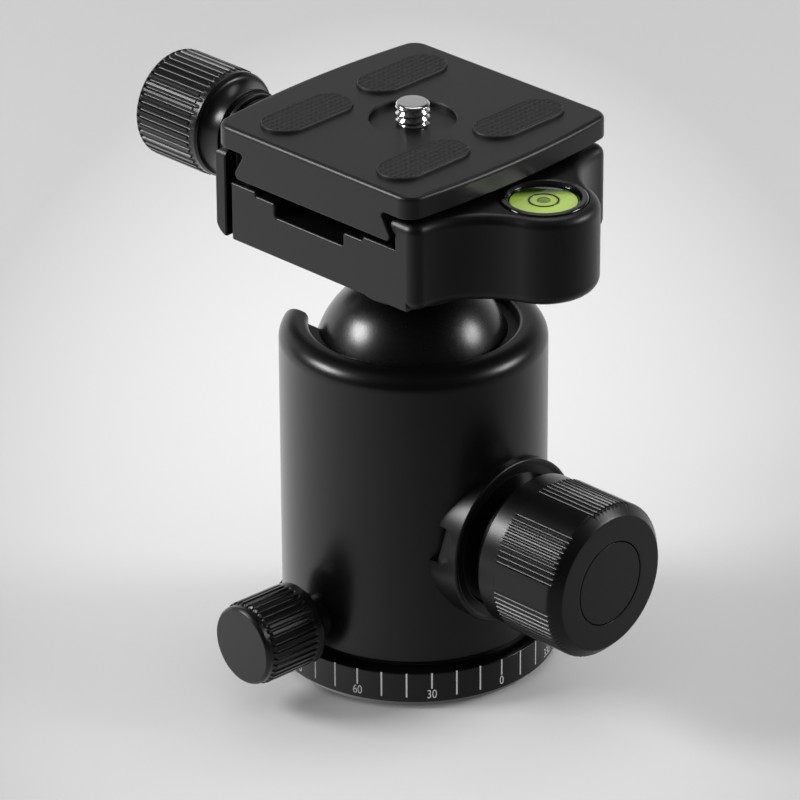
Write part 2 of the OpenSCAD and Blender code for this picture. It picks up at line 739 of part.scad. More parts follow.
module pan_knob() {
    ribs_to = pan_knob_face - pan_front;
    bore = pan_screw_r + fit_gap;
    color(anodised) level_axis(pan_z, pan_angle) difference() {
        rotate_extrude() polygon(concat(
            [[bore, pan_knob_rear], [pan_knob_r - body_edge, pan_knob_rear],
             [pan_knob_r, pan_knob_rear + body_edge], [pan_knob_r, ribs_to - pan_step], [pan_ring_r, ribs_to]],
            arc(pan_face_r, pan_knob_face - pan_edge, pan_edge, pan_edge, 0, pan_face_sweep, 6),
            [[pan_face_r, pan_knob_face], [0, pan_knob_face], [0, ribs_to], [bore, ribs_to]]));
        grooves(pan_knob_rear + pan_band, pan_knob_face, pan_knob_r, pan_groove_r,
                [for (i = [0 : pan_ribs - 1]) i * 360 / pan_ribs]);
    }
}

module ball() {
    color(anodised) translate([0, 0, ball_z]) sphere(r = ball_r, $fn = 160);
}

module neck() {
    color(anodised) difference() {
        translate([0, 0, ball_z]) cylinder(h = clamp_z - 2 * run_gap - ball_z, r = stem_r);
        translate([0, 0, ball_z]) sphere(r = ball_r + seat_gap, $fn = 160);
        translate([0, 0, mount_tip_z - 2 * run_gap]) cylinder(h = clamp_z, r = mount_screw_r + run_gap);
    }
}

// One jaw's profile in X and Z: outer side at x = outer, flank to the left, foot at the given height
module jaw_profile(outer, foot_inner, foot_z, foot_round, top_round) {
    flank_high = jaw_top - lip_round - body_edge;
    relief = dove_half_w + jaw_gap;
    lip = flank(flank_high) + seat_gap;
    polygon(concat(
        [[foot_inner, floor_z + jaw_gap / 2], [relief, floor_z + jaw_gap / 2], [relief, flank_z - jaw_gap],
         [flank_x + seat_gap, flank_z], [lip, flank_high]],
        arc(lip + lip_round, flank_high + body_edge, lip_round, lip_round, 180, 90, 6),
        top_round > 0 ? arc(outer - top_round, jaw_top - top_round, top_round, top_round, 90, 0, 8)
                      : [[outer, jaw_top]],
        foot_round > 0 ? arc(outer - foot_round, foot_z + foot_round, foot_round, foot_round, 0, -90, 10)
                       : [[outer, foot_z]],
        [[foot_inner, foot_z]]));
}

// Section that rounds a convex edge when it is cut away: the edge at x = r, the top face at z = 0
module edge_section(r, side, round) {
    translate([r, 0]) scale([side, 1]) difference() {
        translate([-round, -round]) square(round + over);
        translate([-round, -round]) circle(r = round, $fn = 64);
    }
}

// Cut that rounds the edge along an arc of the fixed side. Side is 1 for a convex arc and -1 for a hollow one
module arc_cut(mid, r, from, to, side, round) {
    translate([mid.x, mid.y, 0]) rotate([0, 0, from]) rotate_extrude(angle = to - from)
        edge_section(r, side, round);
}

// Cuts that round one edge of the fixed side all the way, from corner to corner. The edge lies at z = 0
module outline_cut(round) {
    for (s = [0, 1]) mirror([0, s, 0]) {
        arc_cut(corner_mid, fixed_corner, corner_turn, 90, 1, round);
        arc_cut(blend_mid, lobe_blend, 180 + corner_turn, 180 + lobe_turn, -1, round);
    }
    arc_cut([lobe_x, 0], lobe_r, -lobe_turn, lobe_turn, 1, round);
}

// Cuts that round the upper edges at the two ends of the clamp, between two distances from the axis
module end_cuts(from, to, round) {
    for (s = [0, 1]) mirror([0, s, 0])
        translate([from, 0, jaw_top]) rotate([90, 0, 90]) linear_extrude(height = to - from)
            edge_section(clamp_half_y, 1, round);
}

// Plan of the fixed side: the block, the corners, the hollow curves and the lobe
module fixed_plan() {
    round_rect(-clamp_left, corner_mid.x, -clamp_half_y, clamp_half_y, clamp_corner);
    translate([0, -clamp_half_y]) square([corner_mid.x, 2 * clamp_half_y]);
    for (s = [-1, 1]) translate([corner_mid.x, s * corner_mid.y]) circle(r = fixed_corner);
    translate([lobe_x, 0]) circle(r = lobe_r);
    difference() {
        polygon([[0, -corner_mid.y], [corner_mid.x, -corner_mid.y], [blend_mid.x, -blend_mid.y],
                 [lobe_x, 0], blend_mid, corner_mid, [0, corner_mid.y]]);
        for (s = [-1, 1]) translate([blend_mid.x, s * blend_mid.y]) circle(r = lobe_blend);
    }
}

module clamp_body() {
    color(anodised) difference() {
        union() {
            translate([0, 0, clamp_z]) linear_extrude(height = floor_z - clamp_z) fixed_plan();
            intersection() {
                along_y(clamp_half_y)
                    jaw_profile(lobe_x + lobe_r + over, trough_half_w, floor_z - over, 0, 0);
                translate([0, 0, clamp_z]) linear_extrude(height = jaw_top - clamp_z) fixed_plan();
            }
        }
        translate([0, 0, jaw_top]) outline_cut(top_round);
        end_cuts(trough_half_w, corner_mid.x, top_round);
        translate([0, 0, clamp_z]) mirror([0, 0, 1]) outline_cut(foot_round);
        translate([trough_mid - step_half_w, -clamp_half_y - over, floor_z - step_depth])
            cube([2 * step_half_w, 2 * (clamp_half_y + over), step_depth + over]);
        translate([trough_mid - trough_half_w, -clamp_half_y - over, trough_z])
            cube([2 * trough_half_w, 2 * (clamp_half_y + over), floor_z - trough_z + over]);
        translate([0, 0, clamp_z - over])
            cylinder(h = trough_z - clamp_z + 2 * over, r = mount_screw_r + run_gap);
        rod(clamp_screw_z, 180, clamp_screw_end - 2 * run_gap, clamp_left + over, clamp_screw_r + run_gap);
        for (s = [-1, 1]) translate([0, s * pin_y, 0])
            rod(pin_z, 180, pin_inner - over, clamp_left + over, pin_r + run_gap);
        translate([lobe_x, 0, level_seat_z]) cylinder(h = level_depth + over, r = level_r + fit_gap);
    }
}

module clamp_mount_screw() {
    color(steel) difference() {
        union() {
            translate([0, 0, mount_tip_z]) cylinder(h = trough_z - mount_tip_z + fit_gap, r = mount_screw_r);
            translate([0, 0, trough_z]) cylinder(h = mount_head_h, r = mount_head_r);
        }
        translate([0, 0, trough_z + mount_head_h / 2])
            cylinder(h = mount_head_h, r = mount_head_r / 2, $fn = 6);
    }
}

module level_ring() {
    color(anodised) translate([lobe_x, 0, level_seat_z]) difference() {
        cylinder(h = level_depth + level_proud, r = level_r);
        translate([0, 0, level_floor]) cylinder(h = level_depth + over, r = level_r - level_wall);
    }
}

module level_vial() {
    color(spirit) translate([lobe_x, 0, level_seat_z + level_floor])
        cylinder(h = level_depth + level_proud - level_floor - vial_drop, r = level_r - level_wall - fit_gap);
}

// Plan of the moving jaw before it is mirrored: thin ends and a thicker middle with the lip
module jaw_plan() {
    middle = clamp_half_y - jaw_end_len;
    round_rect(jaw_outer - jaw_end_t, jaw_outer, -clamp_half_y, clamp_half_y, clamp_corner);
    translate([0, -middle]) square([jaw_outer - jaw_end_t + clamp_corner, 2 * middle]);
}

module clamp_jaw() {
    color(anodised) difference() {
        union() {
            mirror([1, 0, 0]) difference() {
                intersection() {
                    along_y(clamp_half_y) jaw_profile(jaw_outer, jaw_inner, clamp_z, jaw_round, jaw_edge);
                    translate([0, 0, clamp_z - over]) linear_extrude(height = jaw_top) jaw_plan();
                }
                end_cuts(0, jaw_outer + over, jaw_edge);
            }
            rod(clamp_screw_z, 180, jaw_outer - jaw_t / 2, boss_end, boss_r);
        }
        rod(clamp_screw_z, 180, 0, boss_end + over, clamp_screw_r + run_gap);
        for (s = [-1, 1]) translate([0, s * pin_y, 0])
            rod(pin_z, 180, 0, jaw_outer - body_edge, pin_r + fit_gap);
    }
}

module guide_pins() {
    color(steel) for (s = [-1, 1]) translate([0, s * pin_y, 0])
        rod(pin_z, 180, pin_inner, jaw_outer - body_edge - fit_gap, pin_r);
}

module thrust_washer() {
    color(steel) difference() {
        rod(clamp_screw_z, 180, boss_end + run_gap, boss_end + run_gap + washer_t, washer_r);
        rod(clamp_screw_z, 180, boss_end - over, boss_end + washer_t + over, clamp_screw_r + run_gap);
    }
}

module clamp_screw() {
    color(steel) rod(clamp_screw_z, 180, clamp_screw_end, clamp_knob_end - 2 * clamp_end_band, clamp_screw_r);
}

module clamp_knob() {
    flare_from = clamp_hub_start + clamp_hub_len;
    flare_to = flare_from + clamp_flare;
    ribs_from = flare_to + clamp_rim;
    edge = clamp_end_band * 0.6;
    bore = clamp_screw_r + fit_gap;
    bore_end = clamp_knob_end - 2 * clamp_end_band + fit_gap;
    color(anodised) level_axis(clamp_screw_z, 180) difference() {
        rotate_extrude() polygon(concat(
            [[bore, clamp_hub_start], [clamp_hub_r, clamp_hub_start], [clamp_hub_r, flare_from]],
            arc(clamp_hub_r, flare_to, clamp_flare_r - clamp_hub_r, clamp_flare, -90, 0, 10),
            [[clamp_knob_r, flare_to + clamp_knob_r - clamp_flare_r]],
            arc(clamp_knob_r - edge, clamp_knob_end - edge, edge, edge, 0, 90, 8),
            [[0, clamp_knob_end], [0, bore_end], [bore, bore_end]]));
        grooves(ribs_from, clamp_knob_end - clamp_end_band, clamp_knob_r, clamp_groove_r,
                [for (i = [0 : clamp_ribs - 1]) i * 360 / clamp_ribs]);
    }
}

// Plan of the plate: straight ends, bowed sides and round corners
module plate_plan(grow) {
    difference() {
        intersection() {
            translate([-plate_half_x - grow, -plate_half_y - grow])
                square([2 * (plate_half_x + grow), 2 * (plate_half_y + grow)]);
            for (s = [-1, 1]) translate([s * (bow_r - plate_half_x), 0])
                circle(r = bow_r + grow, $fn = 256);
        }
        for (sx = [-1, 1], sy = [-1, 1]) scale([sx, sy])
            translate([corner_x + grow - plate_corner, plate_half_y + grow - plate_corner]) difference() {
                square(plate_corner + over);
                circle(r = plate_corner, $fn = 48);
            }
    }
}

// Profile of half the dovetail in X and Z, from the middle out to the flange
module dovetail_half() {
    tip_x = dove_half_w - dove_round;
    neck_z = flange_z - neck_round;
    polygon(concat([[0, dove_z]], arc(tip_x, dove_z + dove_round, dove_round, dove_round, -90, dove_lean, 8),
        arc(flank(neck_z) + neck_round, neck_z, neck_round, neck_round, 180, 90, 6),
        [[flank(neck_z) + neck_round, flange_z + neck_round], [0, flange_z + neck_round]]));
}

module quick_plate() {
    color(anodised) difference() {
        union() {
            translate([0, 0, flange_z]) linear_extrude(height = plate_top - flange_z) plate_plan(0);
            intersection() {
                along_y(plate_half_y) for (s = [0, 1]) mirror([s, 0, 0]) dovetail_half();
                translate([0, 0, dove_z]) linear_extrude(height = plate_top - dove_z) plate_plan(0);
            }
        }
        translate([0, 0, plate_top - recess_depth]) cylinder(h = recess_depth + over, r = recess_r);
        translate([0, 0, dove_z - over]) cylinder(h = plate_top, r = plate_thread_r);
        translate([0, 0, dove_z - over])
            cylinder(h = head_pocket_z - dove_z + over, r = head_pocket_r);
        pad_places() translate([0, 0, plate_top - pad_sink])
            linear_extrude(height = pad_sink + over) pad_plan(fit_gap);
    }
}

module pad_places() {
    for (x = [-pad_x, pad_x], y = [-pad_y, pad_y]) translate([x, y, 0]) children();
}

// Plan of a pad: a rectangle with two round ends
module pad_plan(grow) {
    straight = pad_len - pad_w;
    translate([-pad_w / 2 - grow, -straight / 2]) square([pad_w + 2 * grow, straight]);
    for (s = [-1, 1]) translate([0, s * straight / 2]) circle(r = pad_w / 2 + grow, $fn = 48);
}

module plate_pads() {
    color(rubber) pad_places() translate([0, 0, plate_top - pad_sink])
        linear_extrude(height = pad_sink + pad_proud) pad_plan(0);
}

module camera_screw() {
    shoulder = head_pocket_z - 2 * seat_gap;
    thread_z = plate_top - recess_depth + 2 * seat_gap;
    color(steel) difference() {
        rotate_extrude() polygon([
            [0, camera_head_z], [camera_head_r, camera_head_z], [camera_head_r, shoulder],
            [camera_shank_r, shoulder], [camera_shank_r, thread_z], [camera_screw_r, thread_z],
            [camera_screw_r, camera_tip_z - camera_tip_chamfer],
            [camera_screw_r - camera_tip_chamfer, camera_tip_z], [0, camera_tip_z]]);
        translate([-camera_head_r - over, -coin_slot_w / 2, camera_head_z - over])
            cube([2 * (camera_head_r + over), coin_slot_w, over + coin_slot_depth]);
    }
}

pan_base();
tripod_bushing();
bearing_washer();
hub_retainer();
retainer_screws();
housing();
core_block();
lock_collar();
upper_seat_ring();
pan_sleeve();
lock_wedge();
lock_screw();
lock_knob();
lock_knob_cap();
cup_plunger();
ball_cup();
pan_brake_shoe();
pan_screw();
pan_knob();
ball();
neck();
clamp_body();
clamp_mount_screw();
level_ring();
level_vial();
clamp_jaw();
guide_pins();
thrust_washer();
clamp_screw();
clamp_knob();
quick_plate();
plate_pads();
camera_screw();
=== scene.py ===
"""Tripod ball head in black anodised aluminium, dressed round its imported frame.

Sizes are in millimetres in the head's own frame: the origin is the centre of the base's underside, +Z is up,
+X points to the main lock knob and the level, and -Y to the pan lock knob.
"""

import json
import logging
import math
from dataclasses import dataclass, field
from enum import Enum
from typing import Callable, Sequence

import bmesh
import bpy
import numpy as np
from mathutils import Matrix, Vector

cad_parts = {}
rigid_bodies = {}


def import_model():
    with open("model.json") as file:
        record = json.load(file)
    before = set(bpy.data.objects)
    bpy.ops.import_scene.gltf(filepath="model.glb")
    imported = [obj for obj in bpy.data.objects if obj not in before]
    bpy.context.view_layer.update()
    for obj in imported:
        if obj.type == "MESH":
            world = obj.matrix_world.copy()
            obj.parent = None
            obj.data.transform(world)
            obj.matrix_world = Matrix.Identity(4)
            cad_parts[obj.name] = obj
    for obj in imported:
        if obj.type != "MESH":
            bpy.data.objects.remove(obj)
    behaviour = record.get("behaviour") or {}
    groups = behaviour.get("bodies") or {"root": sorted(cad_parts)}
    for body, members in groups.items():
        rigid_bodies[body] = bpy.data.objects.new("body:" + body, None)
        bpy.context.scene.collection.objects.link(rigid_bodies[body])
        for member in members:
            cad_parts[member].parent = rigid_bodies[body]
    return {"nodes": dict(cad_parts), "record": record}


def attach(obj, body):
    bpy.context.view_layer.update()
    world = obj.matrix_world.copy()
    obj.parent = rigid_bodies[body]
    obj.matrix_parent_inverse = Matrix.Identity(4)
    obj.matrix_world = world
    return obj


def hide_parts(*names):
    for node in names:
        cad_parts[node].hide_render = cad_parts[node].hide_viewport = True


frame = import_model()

LOG = logging.getLogger("ball_head")
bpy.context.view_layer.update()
MM = 0.001
TURN = 2.0 * math.pi
WELD = 1e-6
Array = np.ndarray
Pair = tuple[float, float]
Triple = tuple[float, float, float]
Corner = tuple[float, ...]
Relief = Callable[[Array, Array], Array]
Socket = bpy.types.NodeSocket


# Shapes as arrays of points

@dataclass(frozen=True)
class Axis:
    """Straight axis with two directions square to it; side, up and along are right-handed."""

    origin: Triple = (0.0, 0.0, 0.0)
    along: Triple = (0.0, 0.0, 1.0)
    side: Triple = (1.0, 0.0, 0.0)
    up: Triple = (0.0, 1.0, 0.0)

    @classmethod
    def level(cls, height: float, degrees: float, y: float = 0.0) -> "Axis":
        """Level axis from (0, y) at a height, turned by an angle from +X towards +Y; its up is +Z."""
        c, s = math.cos(math.radians(degrees)), math.sin(math.radians(degrees))
        return cls((0.0, y, height), (c, s, 0.0), (-s, c, 0.0), (0.0, 0.0, 1.0))

    def place(self, across: Array, upward: Array, distance: Array) -> Array:
        """Points = origin + across * side + upward * up + distance * along, for whole arrays."""
        parts = zip((across, upward, distance), (self.side, self.up, self.along))
        return np.array(self.origin) + sum(amount[..., None] * np.array(way) for amount, way in parts)


@dataclass
class Shell:
    """Points in millimetres and the faces between them."""

    points: Array
    faces: list[tuple[int, ...]]

    def __add__(self, other: "Shell") -> "Shell":
        """Both shells in one, side by side."""
        moved = [tuple(i + len(self.points) for i in face) for face in other.faces]
        return Shell(np.vstack([self.points, other.points]), self.faces + moved)


NOTHING = Shell(np.empty((0, 3)), [])


def fillet(corners: Sequence[Corner], closed: bool = False, step: float = 10.0) -> Array:
    """Outline whose corners are arcs that touch both their sides.

    An arc starts and ends radius / tan(half the corner's angle) from the corner, and its centre lies on the
    bisector at radius / sin(half the angle).

    Args:
        corners: each corner's two coordinates and, where it is round, its radius.
        closed: whether the last corner joins the first.
        step: largest angle between neighbouring points of an arc, in degrees.

    Returns:
        Points of the outline, one row each.
    """
    table = np.array([(*corner, 0.0)[:3] for corner in corners], float)
    places, radii = table[:, :2], table[:, 2]
    count = len(places)
    parts = []
    for i, (place, radius) in enumerate(zip(places, radii)):
        if radius == 0 or (not closed and i in (0, count - 1)):
            parts.append(place[None])
            continue
        sides = np.array([places[i - 1] - place, places[(i + 1) % count] - place])
        sides /= np.linalg.norm(sides, axis=1)[:, None]
        half = 0.5 * math.acos(float(np.clip(sides[0] @ sides[1], -1.0, 1.0)))
        middle = sides.sum(axis=0)
        centre = place + middle / np.linalg.norm(middle) * radius / math.sin(half)
        start, end = (place + side * radius / math.tan(half) - centre for side in sides)
        first = math.atan2(start[1], start[0])
        sweep = (math.atan2(end[1], end[0]) - first + math.pi) % TURN - math.pi
        steps = max(3, math.ceil(abs(math.degrees(sweep)) / step))
        parts.append(centre + radius * ray(first + sweep * np.linspace(0.0, 1.0, steps + 1)))
    return np.concatenate(parts)


def ray(angle: Array) -> Array:
    """Directions (cos, sin) of angles in radians, one row each."""
    return np.stack([np.cos(angle), np.sin(angle)], axis=-1)


def arc(centre: Pair, radius: float, start: float, end: float, steps: int) -> Array:
    """Points on a circle's arc between two angles in degrees."""
    return np.array(centre) + radius * ray(np.radians(np.linspace(start, end, steps + 1)))


def circle(radius: float, steps: int) -> Array:
    """Closed circle about the middle."""
    return arc((0.0, 0.0), radius, 0.0, 360.0, steps)[:-1]


def quarter(radius: float, steps: int = 6) -> tuple[Array, Array]:
    """Quarter circle from the side to the top: how far it draws in, 1 - cos, and how far it climbs, sin."""
    turn = np.radians(np.linspace(0.0, 90.0, steps + 1))
    return radius * (1.0 - np.cos(turn)), radius * np.sin(turn)


def refine(line: Array, longest: float) -> Array:
    """Line with points added so that no stretch is longer than a limit; the old points stay.

    Args:
        line: points, one row each.
        longest: longest stretch that may remain.

    Returns:
        The finer line.
    """
    reach = np.concatenate([[0.0], np.cumsum(np.linalg.norm(np.diff(line, axis=0), axis=1))])
    marks = [np.linspace(a, b, max(2, math.ceil((b - a) / longest) + 1))[:-1] for a, b in zip(reach, reach[1:])]
    place = np.append(np.concatenate(marks), reach[-1])
    return np.stack([np.interp(place, reach, line[:, k]) for k in range(line.shape[1])], axis=1)


def offset(outline: Array, amounts: Array) -> Array:
    """Copies of a closed outline, each moved outwards by an amount, inwards where it is negative.

    A point moves along the sum of its two sides' outward normals divided by 1 + the normals' dot product, which
    keeps every side parallel to its old place.

    Args:
        outline: counter-clockwise outline, one row a point.
        amounts: how far each copy moves.

    Returns:
        Copies by points by two.
    """
    way = np.roll(outline, -1, axis=0) - outline
    way /= np.linalg.norm(way, axis=1)[:, None]
    after = np.stack([way[:, 1], -way[:, 0]], axis=1)
    before = np.roll(after, 1, axis=0)
    mitre = (before + after) / (1.0 + (before * after).sum(axis=1))[:, None]
    return outline[None] + amounts[:, None, None] * mitre[None]


def grid(points: Array, wrap_rows: bool, wrap_columns: bool) -> Shell:
    """Quads between the neighbours of a grid of points.

    Args:
        points: rows by columns by three.
        wrap_rows: whether the last row joins the first.
        wrap_columns: whether the last column joins the first.

    Returns:
        The shell; a face's normal is its column direction crossed with its row direction.
    """
    rows, columns = points.shape[:2]
    r = np.arange(rows if wrap_rows else rows - 1)[:, None]
    c = np.arange(columns if wrap_columns else columns - 1)[None]
    r2, c2 = (r + 1) % rows, (c + 1) % columns
    quads = np.stack([r * columns + c, r * columns + c2, r2 * columns + c2, r2 * columns + c], axis=-1)
    return Shell(points.reshape(-1, 3), [tuple(q) for q in quads.reshape(-1, 4).tolist()])


def lathe(line: Array, axis: Axis, segments: int, closed: bool = False, relief: Relief | None = None) -> Shell:
    """Surface of revolution: radius = line's radius minus the relief at that angle and distance.

    Args:
        line: radius and distance along the axis, one row each, counter-clockwise round the section.
        axis: axis of revolution.
        segments: number of facets round the axis.
        closed: whether the section is a closed ring that doesn't touch the axis.
        relief: depth cut from the surface, given the angles and the line.

    Returns:
        The surface, with its points on the axis still doubled.
    """
    angle = np.arange(segments) * TURN / segments
    radius = np.repeat(line[:, :1], segments, axis=1)
    if relief is not None:
        radius = radius - relief(angle, line)
    distance = np.repeat(line[:, 1:2], segments, axis=1)
    return grid(axis.place(radius * np.cos(angle), radius * np.sin(angle), distance), closed, True)


def turned(corners: Sequence[Corner], axis: Axis, segments: int, ring: bool = False, step: float = 10.0) -> Shell:
    """Surface of revolution with a filleted section, which is closed for a ring."""
    return lathe(fillet(corners, ring, step), axis, segments, ring)


def loft(rings: Array, axis: Axis, distances: Array) -> Shell:
    """Closed solid through a stack of rings, each counter-clockwise seen against the axis.

    Args:
        rings: offsets along side and up, as rings by points by two.
        axis: direction in which the rings are stacked.
        distances: each ring's distance along the axis, rising.

    Returns:
        The solid, with one flat face at each end.
    """
    rows, count = rings.shape[:2]
    points = axis.place(rings[..., 0], rings[..., 1], np.repeat(distances[:, None], count, axis=1))
    wall = grid(points, False, True)
    caps = [tuple(reversed(range(count))), tuple(range((rows - 1) * count, rows * count))]
    return Shell(wall.points, wall.faces + caps)


def prism(outline: Array, axis: Axis, low: float, high: float) -> Shell:
    """Closed prism: an outline, counter-clockwise seen against the axis, carried from low to high along it."""
    return loft(np.stack([outline, outline]), axis, np.array([low, high]))


@dataclass(frozen=True)
class Ribbing:
    """Row of grooves with a round bottom, cut along a turned knob with a ball-ended cutter."""

    start: float
    end: float
    centres: tuple[float, ...]
    cutter: float
    lift: float = 0.15
    full: float = 0.0

    def __call__(self, angle: Array, line: Array) -> Array:
        """Depth = sqrt(cutter^2 - distance from the groove's middle^2) - the cutter's lift, and 0 outside.

        At a groove's two ends the distance from the last full section is counted too, so the ends are round.
        Where the knob is thinner than its full radius, the groove is that much shallower and runs out.

        Args:
            angle: angles round the knob, in radians.
            line: radius and distance along the axis, one row each.

        Returns:
            Depths, with one row for each point of the line and one column for each angle.
        """
        middles = np.radians(np.array(self.centres))
        gap = np.abs((angle[:, None] - middles[None] + math.pi) % TURN - math.pi).min(axis=1)
        past = np.maximum(self.start + self.cutter - line[:, 1:2], line[:, 1:2] - self.end + self.cutter)
        off = (line[:, :1] * gap[None]) ** 2 + np.maximum(past, 0.0) ** 2
        depth = np.sqrt(np.maximum(self.cutter**2 - off, 0.0)) - self.lift * self.cutter
        return np.maximum(depth - np.maximum(self.full - line[:, :1], 0.0), 0.0)


# Meshes

def mesh_object(name: str, shell: Shell) -> bpy.types.Object:
    """Makes an object from a shell, with doubled points welded and faces pointing outwards.

    Args:
        name: the object's name.
        shell: points in millimetres and faces.

    Returns:
        The object, in the scene.
    """
    mesh = bpy.data.meshes.new(name)
    mesh.from_pydata((shell.points * MM).tolist(), [], shell.faces)
    work = bmesh.new()
    work.from_mesh(mesh)
    bmesh.ops.remove_doubles(work, verts=work.verts, dist=WELD)
    bmesh.ops.dissolve_degenerate(work, edges=work.edges, dist=WELD)
    bmesh.ops.recalc_face_normals(work, faces=work.faces)
    work.to_mesh(mesh)
    work.free()
    piece = bpy.data.objects.new(name, mesh)
    bpy.context.scene.collection.objects.link(piece)
    return piece


class Cut(Enum):
    """Ways to combine two solids."""

    AWAY = "DIFFERENCE"
    JOIN = "UNION"
    KEEP = "INTERSECT"


def combine(piece: bpy.types.Object, tool: Shell, how: Cut = Cut.AWAY) -> None:
    """Cuts a solid from a piece, joins it or keeps only what both share.

    Args:
        piece: the piece to change.
        tool: the other solid.
        how: what to do with it.
    """
    other = mesh_object("tool", tool)
    step = piece.modifiers.new("combine", "BOOLEAN")
    step.operation, step.object, step.solver = how.value, other, "EXACT"
    bpy.context.view_layer.update()
    made = bpy.data.meshes.new_from_object(piece.evaluated_get(bpy.context.evaluated_depsgraph_get()))
    spare = [piece.data, other.data]
    piece.modifiers.clear()
    piece.data = made
    bpy.data.objects.remove(other)
    bpy.data.batch_remove(spare)
    made.name = piece.name
    work = bmesh.new()
    work.from_mesh(made)
    bmesh.ops.remove_doubles(work, verts=work.verts, dist=2.0 * WELD)
    bmesh.ops.dissolve_limit(
        work, angle_limit=math.radians(0.5), use_dissolve_boundaries=False, verts=work.verts, edges=work.edges
    )
    work.to_mesh(made)
    work.free()


def round_edges(piece: bpy.types.Object, width: float, segments: int, chosen: Callable[[Array], Array]) -> None:
    """Rounds some of a solid's sharp edges with a live Bevel modifier.

    Args:
        piece: the piece.
        width: width of the rounding, in millimetres.
        segments: facets across a rounding.
        chosen: given the sharp edges' middles in millimetres, says which of them are rounded.
    """
    work = bmesh.new()
    work.from_mesh(piece.data)
    layer = work.edges.layers.float.new("bevel_weight_edge")
    limit = math.radians(35.0)
    edges = [e for e in work.edges if len(e.link_faces) == 2 and e.calc_face_angle(0.0) > limit]
    middles = np.array([[tuple(v.co) for v in e.verts] for e in edges]).mean(axis=1) / MM
    for edge, weight in zip(edges, chosen(middles).astype(float)):
        edge[layer] = weight
    work.to_mesh(piece.data)
    work.free()
    bevel = piece.modifiers.new("round", "BEVEL")
    bevel.limit_method, bevel.miter_outer = "WEIGHT", "MITER_SHARP"
    bevel.width, bevel.segments = width * MM, segments
    bevel.use_clamp_overlap = True


def dress(
    piece: bpy.types.Object, body: str, slot: str, finish: "Finish", *replaces: str, sharp: float = 40.0
) -> None:
    """Shades a piece smoothly but for its flat faces, and gives it its finish, body and nodes.

    Args:
        piece: the piece.
        body: body of the frame that it moves with.
        slot: material slot of the record; not used.
        finish: its finish.
        *replaces: nodes of the frame that it stands for.
        sharp: angle in degrees over which an edge is shaded sharp.
    """
    piece.data.shade_smooth()
    piece.data.set_sharp_from_angle(angle=math.radians(sharp))
    weighted = piece.modifiers.new("flat faces", "WEIGHTED_NORMAL")
    weighted.keep_sharp, weighted.weight = True, 100
    piece.data.materials.clear()
    piece.data.materials.append(finish.material())
    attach(piece, body)
    if replaces:
        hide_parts(*replaces)
    LOG.info("%s: %d faces, on %s", piece.name, len(piece.data.polygons), body)


def add(name: str, shell: Shell, *look: object, sharp: float = 40.0) -> None:
    """Makes a piece from a shell and dresses it with its body, finish and nodes."""
    dress(mesh_object(name, shell), *look, sharp=sharp)


# Finishes

class NodeTree:
    """Short ways to add nodes to a material or a world."""

    def __init__(self, tree: bpy.types.NodeTree) -> None:
        """Takes a tree that already has its shader and its output."""
        self.tree = tree

    def find(self, kind: str) -> bpy.types.Node:
        """The tree's own node of a kind."""
        return next(n for n in self.tree.nodes if n.type == kind)

    def fill(self, node: bpy.types.Node, inputs: dict) -> None:
        """Fills a node's inputs.

        Args:
            node: the node.
            inputs: for each input's name or place another node's socket, which is linked, or a plain value.
        """
        for key, value in inputs.items():
            if isinstance(value, Socket):
                self.tree.links.new(value, node.inputs[key])
            else:
                node.inputs[key].default_value = value

    def add(self, kind: str, inputs: dict, output: "str | int" = 0, **settings: str) -> Socket:
        """Adds a node.

        Args:
            kind: the node's type, without its common prefix.
            inputs: what its inputs are filled with.
            output: name or place of the output that is wanted.
            **settings: the node's own settings.

        Returns:
            The output's socket.
        """
        node = self.tree.nodes.new("ShaderNode" + kind)
        for key, value in settings.items():
            setattr(node, key, value)
        self.fill(node, inputs)
        return node.outputs[output]

    def place(self, which: str = "Object") -> Socket:
        """Texture coordinates."""
        return self.add("TexCoord", {}, which)

    def noise(self, place: Socket, scale: float, detail: float) -> Socket:
        """Noise from 0 to 1 with this many cells a metre."""
        return self.add("TexNoise", {"Vector": place, "Scale": scale, "Detail": detail}, "Fac")

    def mix_colour(self, factor: Socket, first: "Triple | Socket", second: Triple) -> Socket:
        """Colour between two colours, the first of which may come from another node."""
        start = (*first, 1.0) if isinstance(first, tuple) else first
        return self.add("Mix", {"Factor": factor, 6: start, 7: (*second, 1.0)}, 2, data_type="RGBA")

    def mix(self, factor: "Socket | float", first: "Socket | float", second: Socket) -> Socket:
        """Number between two numbers."""
        return self.add("Mix", {"Factor": factor, "A": first, "B": second}, data_type="FLOAT")

    def range(self, value: Socket, low: float, high: float, start: float = 0.0, end: float = 1.0) -> Socket:
        """Number between start and end stretched to a range."""
        return self.add("MapRange", {"Value": value, "From Min": start, "From Max": end, "To Min": low, "To Max": high})

    def math(self, how: str, first: Socket, second: "Socket | float") -> Socket:
        """Result of a Math node."""
        return self.add("Math", {0: first, 1: second}, operation=how)

    def vector(self, how: str, first: Socket, second: "Vector | Triple | None" = None, output: str = "Value") -> Socket:
        """Result of a Vector Math node."""
        return self.add("VectorMath", {0: first} if second is None else {0: first, 1: second}, output, operation=how)

    def slope(self, way: Socket, climb: Vector, base: float = 0.0, least: float = -1000.0) -> Socket:
        """Number that changes evenly with direction: base + way . climb, and never under the least."""
        return self.math("MAXIMUM", self.math("ADD", self.vector("DOT_PRODUCT", way, climb), base), least)

    def about(self, place: Socket, axis: Axis) -> Socket:
        """Point's distance along an axis and from it, as a vector that doesn't change round the axis."""
        start = self.vector("SUBTRACT", place, tuple(c * MM for c in axis.origin), "Vector")
        away = self.vector("LENGTH", self.vector("CROSS_PRODUCT", start, axis.along, "Vector"))
        return self.add("CombineXYZ", {"X": self.vector("DOT_PRODUCT", start, axis.along), "Y": away})


